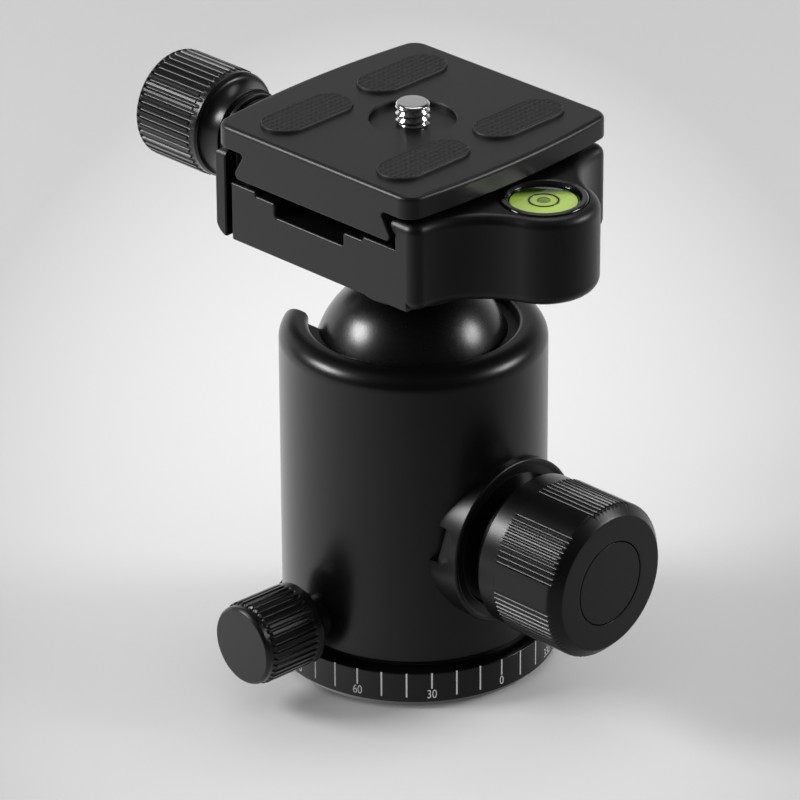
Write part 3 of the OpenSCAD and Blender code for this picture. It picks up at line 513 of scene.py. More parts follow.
class Grain(Enum):
    """Surface textures."""

    BLASTED = "fine blasted pits"
    TURNED = "rings left by the lathe"
    SMOOTH = "almost mirror smooth"
    MOULDED = "soft moulded skin"


@dataclass(frozen=True)
class Finish:
    """One finish: its colour, gloss and surface texture, and a fade that paints shade: direction, start, end and other
    colour, the shade's colour.
    """

    name: str
    colour: Triple
    roughness: float
    metallic: float = 0.0
    specular: float = 0.5
    coat: float = 0.0
    grain: Grain = Grain.BLASTED
    grain_size: float = 0.25
    grain_depth: float = 0.004
    shade: float = 0.15
    turned_about: Axis | None = None
    fade: tuple[Triple, float, float, Triple] | None = None

    def material(self) -> bpy.types.Material:
        """The finish's material, made on first use.

        The colour varies by a few percent with large soft noise, and the roughness with finer noise. The bump is
        fine noise, or rings about the turning axis for turned pieces.

        Returns:
            The material.
        """
        known = bpy.data.materials.get(self.name)
        if known is not None:
            return known
        made = bpy.data.materials.new(self.name)
        made.use_nodes = True
        tree = NodeTree(made.node_tree)
        place = tree.place()
        dark, light = (tuple(min(1.0, c * (1.0 + d)) for c in self.colour) for d in (-self.shade, self.shade))
        colour = tree.mix_colour(tree.noise(place, 60.0, 3.0), dark, light)
        # The fade is painted shade: along its direction the colour turns to the shade's colour.
        if self.fade is not None:
            way, start, end, other = self.fade
            share = tree.range(tree.slope(place, Vector(way)), 0.0, 1.0, start * MM, end * MM)
            colour = tree.mix_colour(share, colour, other)
        speck = tree.noise(place, 1.0 / (self.grain_size * MM * 4.0), 4.0)
        bump = {"Distance": self.grain_depth * MM, "Strength": 0.6, "Height": self._height(tree, place)}
        tree.fill(tree.find("BSDF_PRINCIPLED"), {
            "Metallic": self.metallic, "Specular IOR Level": self.specular, "Coat Weight": self.coat,
            "Coat Roughness": 0.08, "Base Color": colour, "Normal": tree.add("Bump", bump),
            "Roughness": tree.range(speck, self.roughness * 0.88, self.roughness * 1.12)})
        return made

    def _height(self, tree: NodeTree, place: Socket) -> Socket:
        """Height of the surface texture, from 0 to 1.

        Args:
            tree: the material's nodes.
            place: object coordinates.

        Returns:
            The height's socket.
        """
        scale = 1.0 / (self.grain_size * MM)
        fine = tree.noise(place, scale, 2.0)
        if self.grain is Grain.TURNED and self.turned_about is not None:
            return tree.mix(0.25, tree.noise(tree.about(place, self.turned_about), scale, 3.0), fine)
        return tree.mix(0.5, fine, tree.noise(place, 0.25 * scale, 2.0)) if self.grain is Grain.MOULDED else fine


PAN_AXIS = Axis.level(14.15, -94.5)
LOCK_AXIS = Axis.level(30.8, 0.0)
JAW_AXIS = Axis.level(92.4, 180.0)
HEAD_AXIS = Axis()
BACK_AXIS = Axis.level(0.0, 180.0)
FRONT_AXIS = Axis.level(0.0, -90.0)

BLACK = (0.0016, 0.0016, 0.0018)


def black(what: str, rough: float, size: float, about: Axis) -> Finish:
    """Black anodised finish of a turned piece."""
    return Finish("black anodised, " + what, BLACK, rough, grain=Grain.TURNED, grain_size=size, turned_about=about)


BODY = black("turned body", 0.29, 0.12, HEAD_AXIS)
LOCK_KNOB = black("lock knob", 0.33, 0.1, LOCK_AXIS)
PAN_KNOB = black("pan knob", 0.33, 0.1, PAN_AXIS)
JAW_KNOB = black("jaw knob", 0.3, 0.1, JAW_AXIS)
BALL = Finish("black anodised, polished", (0.002, 0.002, 0.0022), 0.28, specular=0.7, grain=Grain.SMOOTH,
              grain_depth=0.001)
MILLED = Finish("black anodised, milled", BLACK, 0.38, grain_size=0.2)
BLASTED = Finish("black anodised, blasted", (0.003, 0.003, 0.0033), 0.38, grain_size=0.16, grain_depth=0.01)
RUBBER = Finish("black rubber", (0.01, 0.01, 0.0105), 0.45, grain=Grain.MOULDED, grain_size=0.2, grain_depth=0.01)
POLYMER = Finish("dark sliding polymer", (0.003, 0.003, 0.003), 0.5, grain=Grain.MOULDED)
PAINT = Finish("white marking paint", (0.55, 0.55, 0.54), 0.5, grain=Grain.MOULDED, shade=0.04)
CHROME = Finish("bright chrome", (0.82, 0.82, 0.83), 0.09, metallic=1.0, grain=Grain.SMOOTH, grain_depth=0.001,
                shade=0.03)
STEEL = Finish("turned steel", (0.5, 0.5, 0.51), 0.3, metallic=1.0, grain=Grain.SMOOTH, shade=0.06)
BRASS = Finish("machined brass", (0.65, 0.5, 0.24), 0.3, metallic=1.0, grain=Grain.SMOOTH, shade=0.08)
# Lime fluid with painted shade: its colour fades to dark green on the far side, next to the plate.
LIME = Finish("lime level fluid with painted shade", (0.40, 0.56, 0.09), 0.12, coat=1.0, grain=Grain.SMOOTH, shade=0.06,
              fade=((-0.77, 0.64, 0.0), -23.4, -20.9, (0.012, 0.03, 0.004)))
LIME_LIGHT = Finish("level bubble", (0.16, 0.22, 0.05), 0.08, coat=1.0, grain=Grain.SMOOTH, shade=0.03)
LEVEL_RIM = Finish("glossy level rim", (0.003, 0.0032, 0.003), 0.12, coat=0.6, grain=Grain.SMOOTH, grain_depth=0.001)


# Sub-assemblies

@dataclass
class PanningBase:
    """Foot with the dial ring, its marks, the hub and the tripod bushing."""

    ring_r: float = 27.1
    ring_h: float = 7.6
    foot: float = 1.6
    hub_r: float = 14.0
    hub_top: float = 20.0
    groove_depth: float = 1.6
    groove_half: float = 2.2
    bushing_r: float = 7.0
    bushing_len: float = 9.0
    thread_r: float = 4.05
    thread_pitch: float = 1.5875
    thread_room: float = 0.8
    tick_width: float = 0.3
    tick_top: float = 7.58
    tick_low: float = 2.56
    short_tick_low: float = 4.35
    first_tick: float = -89.05
    tick_step: float = 10.0
    number_step: int = 30
    number_height: float = 1.75
    number_low: float = 2.35
    zero_at: float = -9.05

    def build(self) -> None:
        """Makes the ring, the bushing and the painted marks."""
        hub, z, bore = self.hub_r, PAN_AXIS.origin[2], self.thread_r + self.thread_room
        ring = turned([
            (self.bushing_r, 0.0), (self.ring_r - self.foot, 0.0, 0.35), (self.ring_r, self.foot, 0.25),
            (self.ring_r, self.ring_h, 0.25), (hub, self.ring_h), (hub, z - self.groove_half),
            (hub - self.groove_depth, z), (hub, z + self.groove_half), (hub, self.hub_top), (bore, self.hub_top),
            (bore, self.bushing_len), (self.bushing_r, self.bushing_len)], HEAD_AXIS, 256, True)
        add("dial_ring", ring, "base", "base_anodised", BODY, "pan_base")
        self._bushing()
        self._ticks()
        self._numbers()

    def _bushing(self) -> None:
        """Makes the bushing with its coarse thread: radius = crest + half the pitch's saw height at that turn."""
        turns = refine(np.array([[self.thread_r, self.bushing_len], [self.thread_r, 0.0]]), self.thread_pitch / 12)

        def thread(angle: Array, line: Array) -> Array:
            """Depth is a triangle wave of the distance minus the angle's share of the pitch."""
            phase = (line[:, 1:2] / self.thread_pitch - angle[None] / TURN) % 1.0
            return (line[:, :1] < self.thread_r + 0.01) * np.abs(2.0 * phase - 1.0) * -0.45 * self.thread_pitch

        section = np.vstack([turns, [[self.bushing_r, 0.0], [self.bushing_r, self.bushing_len]]])
        add("tripod_thread", lathe(section, HEAD_AXIS, 96, True, thread), "base", "steel", STEEL, "tripod_bushing")

    def _ticks(self) -> None:
        """Makes the painted ticks: thin curved plates on the ring, a shorter one over each number."""
        half = 0.5 * self.tick_width / self.ring_r
        radius = self.ring_r + np.array([0.02, 0.02, -0.1, -0.1])
        ticks = []
        for degrees in self.first_tick + self.tick_step * np.arange(round(360.0 / self.tick_step)):
            low = self.tick_low if round(degrees - self.zero_at) % self.number_step else self.short_tick_low
            angle = math.radians(degrees) + half * np.array([-1.0, 1.0, 1.0, -1.0])
            ticks.append(prism(radius[:, None] * ray(angle), HEAD_AXIS, low, self.tick_top))
        add("dial_ticks", sum(ticks, NOTHING), "base", "base_anodised", PAINT)

    def _numbers(self) -> None:
        """Makes the painted numbers: flat figures wrapped round the ring, so that x becomes an angle."""
        figures = []
        for number in range(0, 360, self.number_step):
            curve = bpy.data.curves.new("figures", "FONT")
            curve.body, curve.align_x, curve.resolution_u = str(number), "CENTER", 6
            curve.size, curve.extrude = self.number_height * MM * 1.4, 0.06 * MM
            flat = bpy.data.objects.new("figures", curve)
            bpy.context.scene.collection.objects.link(flat)
            bpy.context.view_layer.update()
            made = bpy.data.meshes.new_from_object(flat.evaluated_get(bpy.context.evaluated_depsgraph_get()))
            points = np.empty(len(made.vertices) * 3, np.float32)
            made.vertices.foreach_get("co", points)
            points = points.reshape(-1, 3).astype(float) / MM
            angle = math.radians(self.zero_at - number) + points[:, 0] * 0.8 / self.ring_r
            radius = self.ring_r - 0.04 + points[:, 2]
            height = self.number_low + points[:, 1] * self.number_height / max(points[:, 1].max(), 1e-6)
            faces = [tuple(p.vertices) for p in made.polygons]
            figures.append(Shell(HEAD_AXIS.place(radius * np.cos(angle), radius * np.sin(angle), height), faces))
            bpy.data.objects.remove(flat)
            bpy.data.curves.remove(curve)
            bpy.data.meshes.remove(made)
        add("dial_numbers", sum(figures, NOTHING), "base", "base_anodised", PAINT)


@dataclass
class Housing:
    """Body that holds the ball, with the collar of the main lock and the sleeve of the pan lock."""

    radius: float = 25.0
    low: float = 8.65
    top: float = 68.0
    rim_w: float = 3.8
    lip: float = 1.0
    socket_r: float = 19.5
    chamber_z: float = 37.6
    core_r: float = 17.1
    shoulder_z: float = 19.9
    hub_r: float = 14.05
    notch_half: float = 12.4
    notch_floor: float = 48.5
    notch_edge: float = 0.7
    seat: Pair = (59.6, 65.9)
    seat_room: float = 0.05
    screw_r: float = 4.05
    collar_r: float = 16.0
    collar: Pair = (19.6, 26.0)
    collar_lip: float = 0.7
    collar_dish: float = 3.0
    collar_bore: float = 12.8
    slot_angle: float = 168.0
    slot_height: float = 7.0
    slot_depth: float = 1.8
    slot_end: float = 24.3
    sleeve_r: float = 4.4
    sleeve: Pair = (19.3, 27.3)
    sleeve_bore: float = 2.55

    def build(self) -> None:
        """Makes the housing, its seat ring, the collar and the sleeve."""
        section = [
            (self.hub_r, self.low), (self.radius, self.low, 0.4), (self.radius, self.top, self.rim_w),
            (self.socket_r, self.top, self.lip), (self.socket_r, self.chamber_z), (self.core_r, self.chamber_z),
            (self.core_r, self.shoulder_z), (self.hub_r, self.shoulder_z)]
        piece = mesh_object("turned_housing", turned(section, HEAD_AXIS, 192, True, 6.0))
        combine(piece, self._notch())
        round_edges(piece, self.notch_edge, 3, lambda at: (at[:, 0] < -0.75 * self.socket_r)
                    & (at[:, 2] > self.notch_floor - 1.0) & (np.abs(at[:, 1]) < self.notch_half + 0.5))
        dress(piece, "head", "body_anodised", BODY, "housing")
        self._seat()
        self._collar()
        start, end = self.sleeve
        sleeve = turned([(self.sleeve_bore, start), (self.sleeve_r, start), (self.sleeve_r, end, 0.4),
                         (self.sleeve_bore, end)], PAN_AXIS, 64, True)
        add("pan_boss", sleeve, "head", "steel", PAN_KNOB, "pan_sleeve")

    def _notch(self) -> Shell:
        """Slot that opens upwards, with a round floor, through the wall on the -X side."""
        half, over = self.notch_half, self.top + 10.0
        bottom = arc((0.0, self.notch_floor + half), half, 180.0, 360.0, 48)
        return prism(np.vstack([bottom, [[half, over], [-half, over]]]), BACK_AXIS, 5.0, self.radius + 5.0)

    def _seat(self) -> None:
        """Makes the seat ring: its inner wall follows the ball, radius = sqrt(R^2 - height^2)."""
        height = np.linspace(self.seat[1], self.seat[0], 16)
        reach = BallStem.ball_r + self.seat_room
        inner = np.stack([np.sqrt(reach**2 - (height - BallStem.ball_z) ** 2), height], axis=1)
        outer = self.socket_r - 0.02
        section = np.vstack([inner, [[outer, self.seat[0]], [outer, self.seat[1]]]])
        piece = mesh_object("seat_ring", lathe(section, HEAD_AXIS, 160, True))
        combine(piece, self._notch())
        dress(piece, "head", "slide_polymer", POLYMER, "upper_seat_ring")

    def _collar(self) -> None:
        """Makes the collar with its lip, its dish and the slot milled in its side."""
        (back, front), inner = self.collar, self.collar_bore
        dish, rim = front - self.collar_dish, self.collar_r - self.collar_lip
        piece = mesh_object("knob_collar", turned([
            (self.screw_r, back), (self.collar_r, back), (self.collar_r, front, 0.45), (rim, front, 0.2),
            (rim - 0.5, front - 0.5, 0.2), (inner + 0.3, front - 0.5, 0.3), (inner, dish, 0.3),
            (self.screw_r, dish)], LOCK_AXIS, 160, True))
        angle = math.radians(self.slot_angle)
        c, s = math.cos(angle), math.sin(angle)
        half, start = 0.5 * self.slot_height, back - 4.0
        outline = fillet([(start, -half), (self.slot_end, -half, half * 0.7), (self.slot_end, half, half * 0.7),
                          (start, half)], closed=True)
        slot = Axis(LOCK_AXIS.origin, (0.0, c, s), (1.0, 0.0, 0.0), (0.0, s, -c))
        combine(piece, prism(outline, slot, self.collar_r - self.slot_depth, self.collar_r + 3.0))
        combine(piece, prism(circle(self.radius - 0.15, 192), HEAD_AXIS, 0.0, self.top))
        round_edges(piece, 0.2, 2, lambda at: at[:, 1] < -13.0)
        dress(piece, "head", "body_anodised", LOCK_KNOB, "lock_collar")


@dataclass
class BallStem:
    """Ball and the neck that carries the clamp."""

    ball_r: float = 18.85
    ball_z: float = 58.8
    neck_r: float = 10.0
    neck_top: float = 85.5
    joint: float = 0.05

    def build(self) -> None:
        """Makes the ball, a half circle turned about the upright axis, and the neck with its hollow foot."""
        half = arc((0.0, self.ball_z), self.ball_r, -90.0, 90.0, 96)
        half[[0, -1], 0] = 0.0
        add("polished_ball", lathe(half, HEAD_AXIS, 192), "ball_joint", "ball_anodised", BALL, "ball")
        reach = self.ball_r + self.joint
        hollow = arc((0.0, self.ball_z), reach, 90.0, 90.0 - math.degrees(math.asin(self.neck_r / reach)), 20)
        hollow[0, 0] = 0.0
        side = fillet([(self.neck_r, hollow[-1, 1]), (self.neck_r, self.neck_top, 0.3), (0.0, self.neck_top)])
        add("clamp_neck", lathe(np.vstack([hollow, side[1:]]), HEAD_AXIS, 96), "neck_joint", "ball_anodised", BALL,
            "neck")


@dataclass
class MainKnob:
    """Large lock knob with groups of fine ribs and a disc let into its face."""

    radius: float = 15.0
    rear: float = 30.0
    band: float = 4.4
    band_r: float = 14.65
    front_band: float = 0.9
    face: float = 49.8
    face_r: float = 13.05
    hub_r: float = 12.0
    hub_rear: float = 27.6
    bore: float = 4.02
    cap_r: float = 8.0
    cap_gap: float = 0.22
    cap_depth: float = 1.5
    groups: int = 6
    grooves: int = 10
    pitch: float = 4.0
    first_group: float = 24.0
    cutter: float = 0.42

    def build(self) -> None:
        """Makes the knob and its disc."""
        seat, floor, step = self.cap_r + self.cap_gap, self.face - self.cap_depth, self.rear + self.band
        section = fillet([
            (self.bore, self.hub_rear), (self.hub_r, self.hub_rear, 0.3), (self.hub_r, self.rear),
            (self.band_r - 0.5, self.rear, 0.15), (self.band_r, self.rear + 0.5, 0.25), (self.band_r, step),
            (self.radius, step + 0.12, 0.08), (self.radius, self.face - self.radius + self.face_r, 0.9),
            (self.face_r, self.face, 0.3), (seat, self.face, 0.08), (seat, floor), (self.bore, floor)], True, 12.0)
        middle = 0.5 * (self.grooves - 1)
        centres = tuple(self.first_group + g * 360.0 / self.groups + (i - middle) * self.pitch
                        for g in range(self.groups) for i in range(self.grooves))
        ribs = Ribbing(step - 1.0, self.face - self.front_band, centres, self.cutter, full=self.radius)
        knob = lathe(refine(section, 0.7), LOCK_AXIS, 900, True, ribs)
        add("main_lock_knob", knob, "main_knob", "knob_anodised", LOCK_KNOB, "lock_knob")
        flush = self.face - 0.02
        disc = turned([(0.0, floor), (self.cap_r, floor), (self.cap_r, flush, 0.1), (0.0, flush)], LOCK_AXIS, 128)
        add("main_knob_disc", disc, "main_knob", "knob_anodised", LOCK_KNOB, "lock_knob_cap")


@dataclass
class PanKnob:
    """Small ribbed pan lock knob."""

    radius: float = 8.0
    rear: float = 28.3
    band: float = 2.5
    front_band: float = 1.8
    face: float = 42.6
    ring_r: float = 7.6
    face_r: float = 7.05
    bore: float = 2.52
    bore_end: float = 1.8
    ribs: int = 36
    cutter: float = 0.4

    def build(self) -> None:
        """Makes the knob: ribs, a smooth ring and a bevelled face."""
        ring, floor = self.face - self.front_band, self.face - self.bore_end
        section = fillet([
            (self.bore, self.rear), (self.radius - 0.8, self.rear, 0.2), (self.radius, self.rear + 0.8, 0.3),
            (self.radius, ring - 0.4, 0.12), (self.ring_r, ring, 0.12), (self.ring_r, self.face - 0.55, 0.35),
            (self.face_r + 0.1, self.face, 0.3), (0.0, self.face), (0.0, floor), (self.bore, floor)], True, 12.0)
        centres = tuple(i * 360.0 / self.ribs for i in range(self.ribs))
        ribs = Ribbing(self.rear + self.band, ring + self.cutter, centres, self.cutter)
        knob = lathe(refine(section, 0.25), PAN_AXIS, self.ribs * 16, True, ribs)
        add("pan_lock_knob", knob, "pan_lock", "knob_anodised", PAN_KNOB, "pan_knob")


@dataclass
class JawKnob:
    """Ribbed clamp knob with a hollow flare and its thrust washer."""

    radius: float = 10.5
    end: float = 63.0
    hub: float = 42.4
    hub_r: float = 8.2
    hub_len: float = 1.0
    flare: float = 3.2
    flare_r: float = 9.9
    rim: float = 2.1
    rim_r: float = 10.25
    end_band: float = 0.7
    bore: float = 3.02
    bore_end: float = 3.4
    ribs: int = 45
    cutter: float = 0.5
    washer_r: float = 7.6
    washer: Pair = (41.25, 42.25)

    def build(self) -> None:
        """Makes the knob and its washer: the flare is a quarter of an ellipse."""
        start, inside = self.hub + self.hub_len, self.end - self.bore_end
        end = start + self.flare
        step = end + self.rim
        t = np.radians(np.linspace(0.0, 90.0, 14))
        cove = np.stack([self.flare_r - (self.flare_r - self.hub_r) * np.cos(t), start + self.flare * np.sin(t)], 1)
        before = fillet([(self.bore, self.hub), (self.hub_r - 0.9, self.hub, 0.2),
                         (self.hub_r - 0.6, self.hub + 0.35, 0.1), (self.hub_r, self.hub + 0.45, 0.2),
                         (self.hub_r, start)])
        after = fillet([(self.flare_r, end), (self.rim_r, end + 0.5, 0.3), (self.rim_r, step),
                        (self.radius, step + 0.12, 0.08), (self.radius, self.end, 1.0), (0.0, self.end),
                        (0.0, inside), (self.bore, inside)])
        centres = tuple((i + 0.5) * 360.0 / self.ribs for i in range(self.ribs))
        ribs = Ribbing(step - 1.0, self.end - self.end_band, centres, self.cutter, 0.1, self.radius)
        section = refine(np.vstack([before[:-1], cove, after[1:]]), 0.42)
        knob = lathe(section, JAW_AXIS, self.ribs * 14, True, ribs)
        add("jaw_lock_knob", knob, "jaw_knob", "knob_anodised", JAW_KNOB, "clamp_knob")
        low, high = self.washer
        ring = turned([(self.bore + 0.03, low), (self.washer_r, low, 0.15), (self.washer_r, high, 0.15),
                       (self.bore + 0.03, high)], JAW_AXIS, 96, True)
        add("jaw_washer", ring, "jaw_knob", "steel", JAW_KNOB, "thrust_washer")


@dataclass(frozen=True)
class Dovetail:
    """Flank shared by the plate and the jaws."""

    wide: float = 19.6
    flank_x: float = 19.453
    flank_z: float = 100.25
    lip_z: float = 101.3
    lean: float = 30.0

    def half(self, height: float) -> float:
        """Half width at a height: flank_x - (height - flank_z) * tan(lean)."""
        return self.flank_x - (height - self.flank_z) * math.tan(math.radians(self.lean))


@dataclass
class Clamp:
    """Fixed half of the clamp with the lobe and the level, and the moving jaw."""

    tail: Dovetail = field(default_factory=Dovetail)
    low: float = 85.6
    floor: float = 97.05
    top: float = 102.7
    half_y: float = 25.4
    left: float = 21.5
    small: float = 0.4
    corner: Triple = (22.75, 22.8, 2.6)
    lobe: Pair = (32.55, 10.2)
    blend_r: float = 16.2
    top_round: float = 2.0
    foot_round: float = 2.4
    edge: float = 0.5
    foot_edge: float = 0.3
    step: Pair = (13.5, 96.25)
    trough: Pair = (8.65, 93.6)
    trough_mid: float = -1.6
    relief: float = 20.0
    lip_round: float = 1.0
    play: float = 0.05
    jaw_inner: float = 21.9
    jaw_outer: float = 25.6
    jaw_floor: float = 97.25
    jaw_round: float = 3.5
    jaw_edge: float = 1.5
    jaw_end: Pair = (23.0, 22.4)
    boss_r: float = 6.9
    boss_end: float = 41.2
    screw_r: float = 3.05
    pin: Triple = (16.0, 90.6, 2.05)
    level_r: float = 8.1
    level_wall: float = 1.6
    level_depth: float = 6.5
    level_top: float = 103.0
    over: float = 0.01

    def build(self) -> None:
        """Makes the body, the jaw and the level."""
        self._body()
        self._jaw()
        self._level()

    def _lip(self) -> list[Triple]:
        """Inner side of a jaw, from the floor up, with each corner's rounding: relief, flank and lip."""
        tail, lip = self.tail, self.tail.half(self.tail.lip_z) + self.play
        return [(self.relief, self.floor, 0.0), (self.relief, tail.flank_z - 0.4, 0.0),
                (tail.flank_x + self.play, tail.flank_z, 0.0), (lip, tail.lip_z, 0.0),
                (lip, self.top + 0.02, self.lip_round)]

    def _plan(self, inset: Array, side: Array) -> Array:
        """Outlines of the fixed side: lobe, hollow arcs and corners drawn in by inset, the flat sides by side.

        The hollow arc touches both its neighbours, so its centre is where two circles round theirs meet. Drawn in,
        the lobe and the corner shrink by the inset, and the hollow arc grows by it.

        Args:
            inset: how far each outline's round part is drawn in.
            side: how far each outline's flat sides are drawn in.

        Returns:
            Outlines by points by two, counter-clockwise from above.
        """
        (cx, cy, cr), (lx, lr) = self.corner, self.lobe
        near, far, gap = self.blend_r + cr, self.blend_r + lr, math.hypot(lx - cx, cy)
        along = (near**2 - far**2 + gap**2) / (2.0 * gap)
        way = np.array([lx - cx, -cy]) / gap
        bx, by = np.array([cx, cy]) + along * way + math.sqrt(near**2 - along**2) * np.array([-way[1], way[0]])
        corner_turn, lobe_turn = math.atan2(by - cy, bx - cx), math.atan2(by, bx - lx)
        inset, side = inset[:, None], side[:, None]

        def part(mx: float, my: float, radius: Array, start: float, stop: float, steps: int) -> Array:
            """Arc about (mx, my) for every inset at once: centre + radius * (cos, sin)."""
            angle = np.linspace(start, stop, steps + 1)[None]
            return np.stack([mx + radius * np.cos(angle), my + radius * np.sin(angle)], axis=-1)

        small, half, right = self.small, self.half_y, 0.5 * math.pi
        flat = [np.stack([x + 0.0 * side, half - side], axis=-1) for x in (cx, self.trough[0])]
        upper = np.concatenate([
            part(lx, 0.0, lr - inset, 0.0, lobe_turn, 28)[:, :-1],
            part(bx, by, self.blend_r + inset, math.pi + lobe_turn, math.pi + corner_turn, 30)[:, :-1],
            part(cx, cy, cr - inset, corner_turn, right, 12), *flat,
            part(small - self.left, half - small, small - np.minimum(side, small - 0.05), right, math.pi, 5)], axis=1)
        return np.concatenate([upper, upper[:, :0:-1] * np.array([1.0, -1.0])], axis=1)

    def _body(self) -> None:
        """Makes the fixed half: a stack of outlines, less the channel, the level's seat and the bores."""
        in_foot, up_foot = quarter(self.foot_round, 8)
        in_top, up_top = quarter(self.top_round, 8)
        inset = np.concatenate([in_foot[::-1], in_top])
        height = np.concatenate([self.low + self.foot_round - up_foot[::-1], self.top - self.top_round + up_top])
        near_foot = np.clip(self.foot_edge + self.low - height, 0.0, self.foot_edge)
        in_side = self.foot_edge - np.sqrt(self.foot_edge**2 - near_foot**2)
        rings = self._plan(inset, np.where(height < self.floor, in_side, inset))
        piece = mesh_object("clamp_block", loft(rings, HEAD_AXIS, height))
        combine(piece, self._channel())
        y, z, r = self.pin
        for y, z, r, start in ((0.0, JAW_AXIS.origin[2], self.screw_r, 6.4), (y, z, r, 8.0), (-y, z, r, 8.0)):
            combine(piece, prism(circle(r, 32), Axis.level(z, 180.0, y), start, self.left + 2.0))
        over, r, low = self.top + 2.0, self.level_r + 0.02, self.top - self.level_depth
        seat = np.array([[0.0, low], [r, low], [r, self.top - 0.2], [r + 0.2, self.top], [r + 0.2, over], [0.0, over]])
        combine(piece, lathe(seat, Axis((self.lobe[0], 0.0, 0.0)), 128))
        dress(piece, "clamp", "clamp_anodised", MILLED, "clamp_body", sharp=32.0)

    def _channel(self) -> Shell:
        """Space of the channel, the step and the deep groove along Y, which widens to round the edges at its ends."""
        a, b = self.trough_mid - self.step[0], self.trough_mid + self.step[0]
        c, d = self.trough_mid - self.trough[0], self.trough_mid + self.trough[0]
        over, out, e, r = self.top + 12.0, -self.left - 8.0, self.edge, self.edge + 0.05
        step, deep, outer = self.step[1], self.trough[1], self.relief + 2.0
        outline = fillet([
            (out, self.floor), (a, self.floor, r), (a, step, 0.2), (c, step, r), (c, deep, 0.9), (d, deep, 0.5),
            (d, step, r), (b, step, 0.2), (b, self.floor, r), *self._lip(), (outer, self.top + 0.02),
            (outer, over), (out, over)], closed=True, step=15.0)
        draw, climb = quarter(e)
        ends = np.concatenate([[-self.half_y - 3.0], -self.half_y + e - climb[::-1], self.half_y - e + climb,
                               [self.half_y + 3.0]])
        return loft(offset(outline, np.concatenate([[e], draw[::-1], draw, [e]])), FRONT_AXIS, ends)

    def _jaw(self) -> None:
        """Makes the moving jaw: its profile carried along Y, with thin ends and the boss for the screw."""
        lip = [(x, min(max(z, self.jaw_floor), self.top), r) for x, z, r in self._lip()]
        outline = fillet([
            (self.jaw_inner, self.low), (self.jaw_outer, self.low, self.jaw_round - 0.02),
            (self.jaw_outer, self.top, self.jaw_edge), *reversed(lip), (self.jaw_inner, self.jaw_floor)], True, 9.0)
        wide, near, low, high = self.half_y, self.jaw_outer + self.over, self.low - 5.0, self.top + 5.0
        far = wide + self.over
        piece = mesh_object("moving_jaw", prism(outline, Axis.level(0.0, 90.0), -wide, wide))
        plan = fillet([(-5.0, -far), (-5.0, far), (-near, far, self.small), (-near, -far, self.small)], closed=True)
        combine(piece, prism(plan, HEAD_AXIS, low, high), Cut.KEEP)
        x, y = self.jaw_end
        notch = fillet([(8.0, y), (x, y, 0.25), (x, wide - 0.25), (x + 0.25, far), (x + 0.25, wide + 4.0),
                        (8.0, wide + 4.0)], closed=True)
        for tool in ((notch * np.array([-1.0, 1.0]))[::-1], notch * np.array([-1.0, -1.0])):
            combine(piece, prism(tool, HEAD_AXIS, low, high))
        end = wide + 0.02
        ends_round = fillet([(-end, self.low - 3.0), (end, self.low - 3.0), (end, self.top + self.over, self.jaw_edge),
                             (-end, self.top + self.over, self.jaw_edge)], closed=True, step=9.0)
        combine(piece, prism(ends_round, BACK_AXIS, 5.0, self.jaw_outer + 5.0), Cut.KEEP)
        root = self.jaw_outer - 1.8
        boss = turned([(0.0, root), (self.boss_r, root), (self.boss_r, self.boss_end, 0.35), (0.0, self.boss_end)],
                      JAW_AXIS, 96)
        combine(piece, boss, Cut.JOIN)
        combine(piece, prism(circle(self.screw_r, 48), JAW_AXIS, 10.0, self.boss_end + 2.0))
        dress(piece, "jaw", "clamp_anodised", MILLED, "clamp_jaw", sharp=32.0)

    def _level(self) -> None:
        """Makes the level: glossy ring, fluid low in the vial, ring mark and bubble."""
        way, base, r = Axis((self.lobe[0], 0.0, 0.0)), self.top - self.level_depth, self.level_r
        inner, z, top = r - self.level_wall, self.level_top - 0.85, self.level_top
        disc = inner - 0.33
        rim = turned([
            (0.0, base), (r, base), (r, top, 0.4), (inner + 0.45, top, 0.3), (inner - 0.1, top - 0.6, 0.2),
            (inner - 0.3, z - 0.3), (0.0, z - 0.3)], way, 128)
        add("level_rim", rim, "clamp", "knob_anodised", LEVEL_RIM, "level_ring")
        fluid = turned([(0.0, z - 0.28), (disc, z - 0.28), (disc, z, 0.15), (0.0, z + 0.1)], way, 128)
        add("level_fluid_window", fluid, "clamp", "level_fluid", LIME, "level_vial")
        mark = turned([(2.5, z), (2.84, z), (2.84, z + 0.18, 0.04), (2.5, z + 0.18, 0.04)], way, 96, True)
        add("level_mark", mark, "clamp", "level_fluid", LEVEL_RIM)
        bubble = turned([(0.0, z), (1.25, z), (1.2, z + 0.2, 0.12), (0.7, z + 0.3, 0.3), (0.0, z + 0.31)], way, 64)
        add("level_bubble", bubble, "clamp", "level_fluid", LIME_LIGHT)


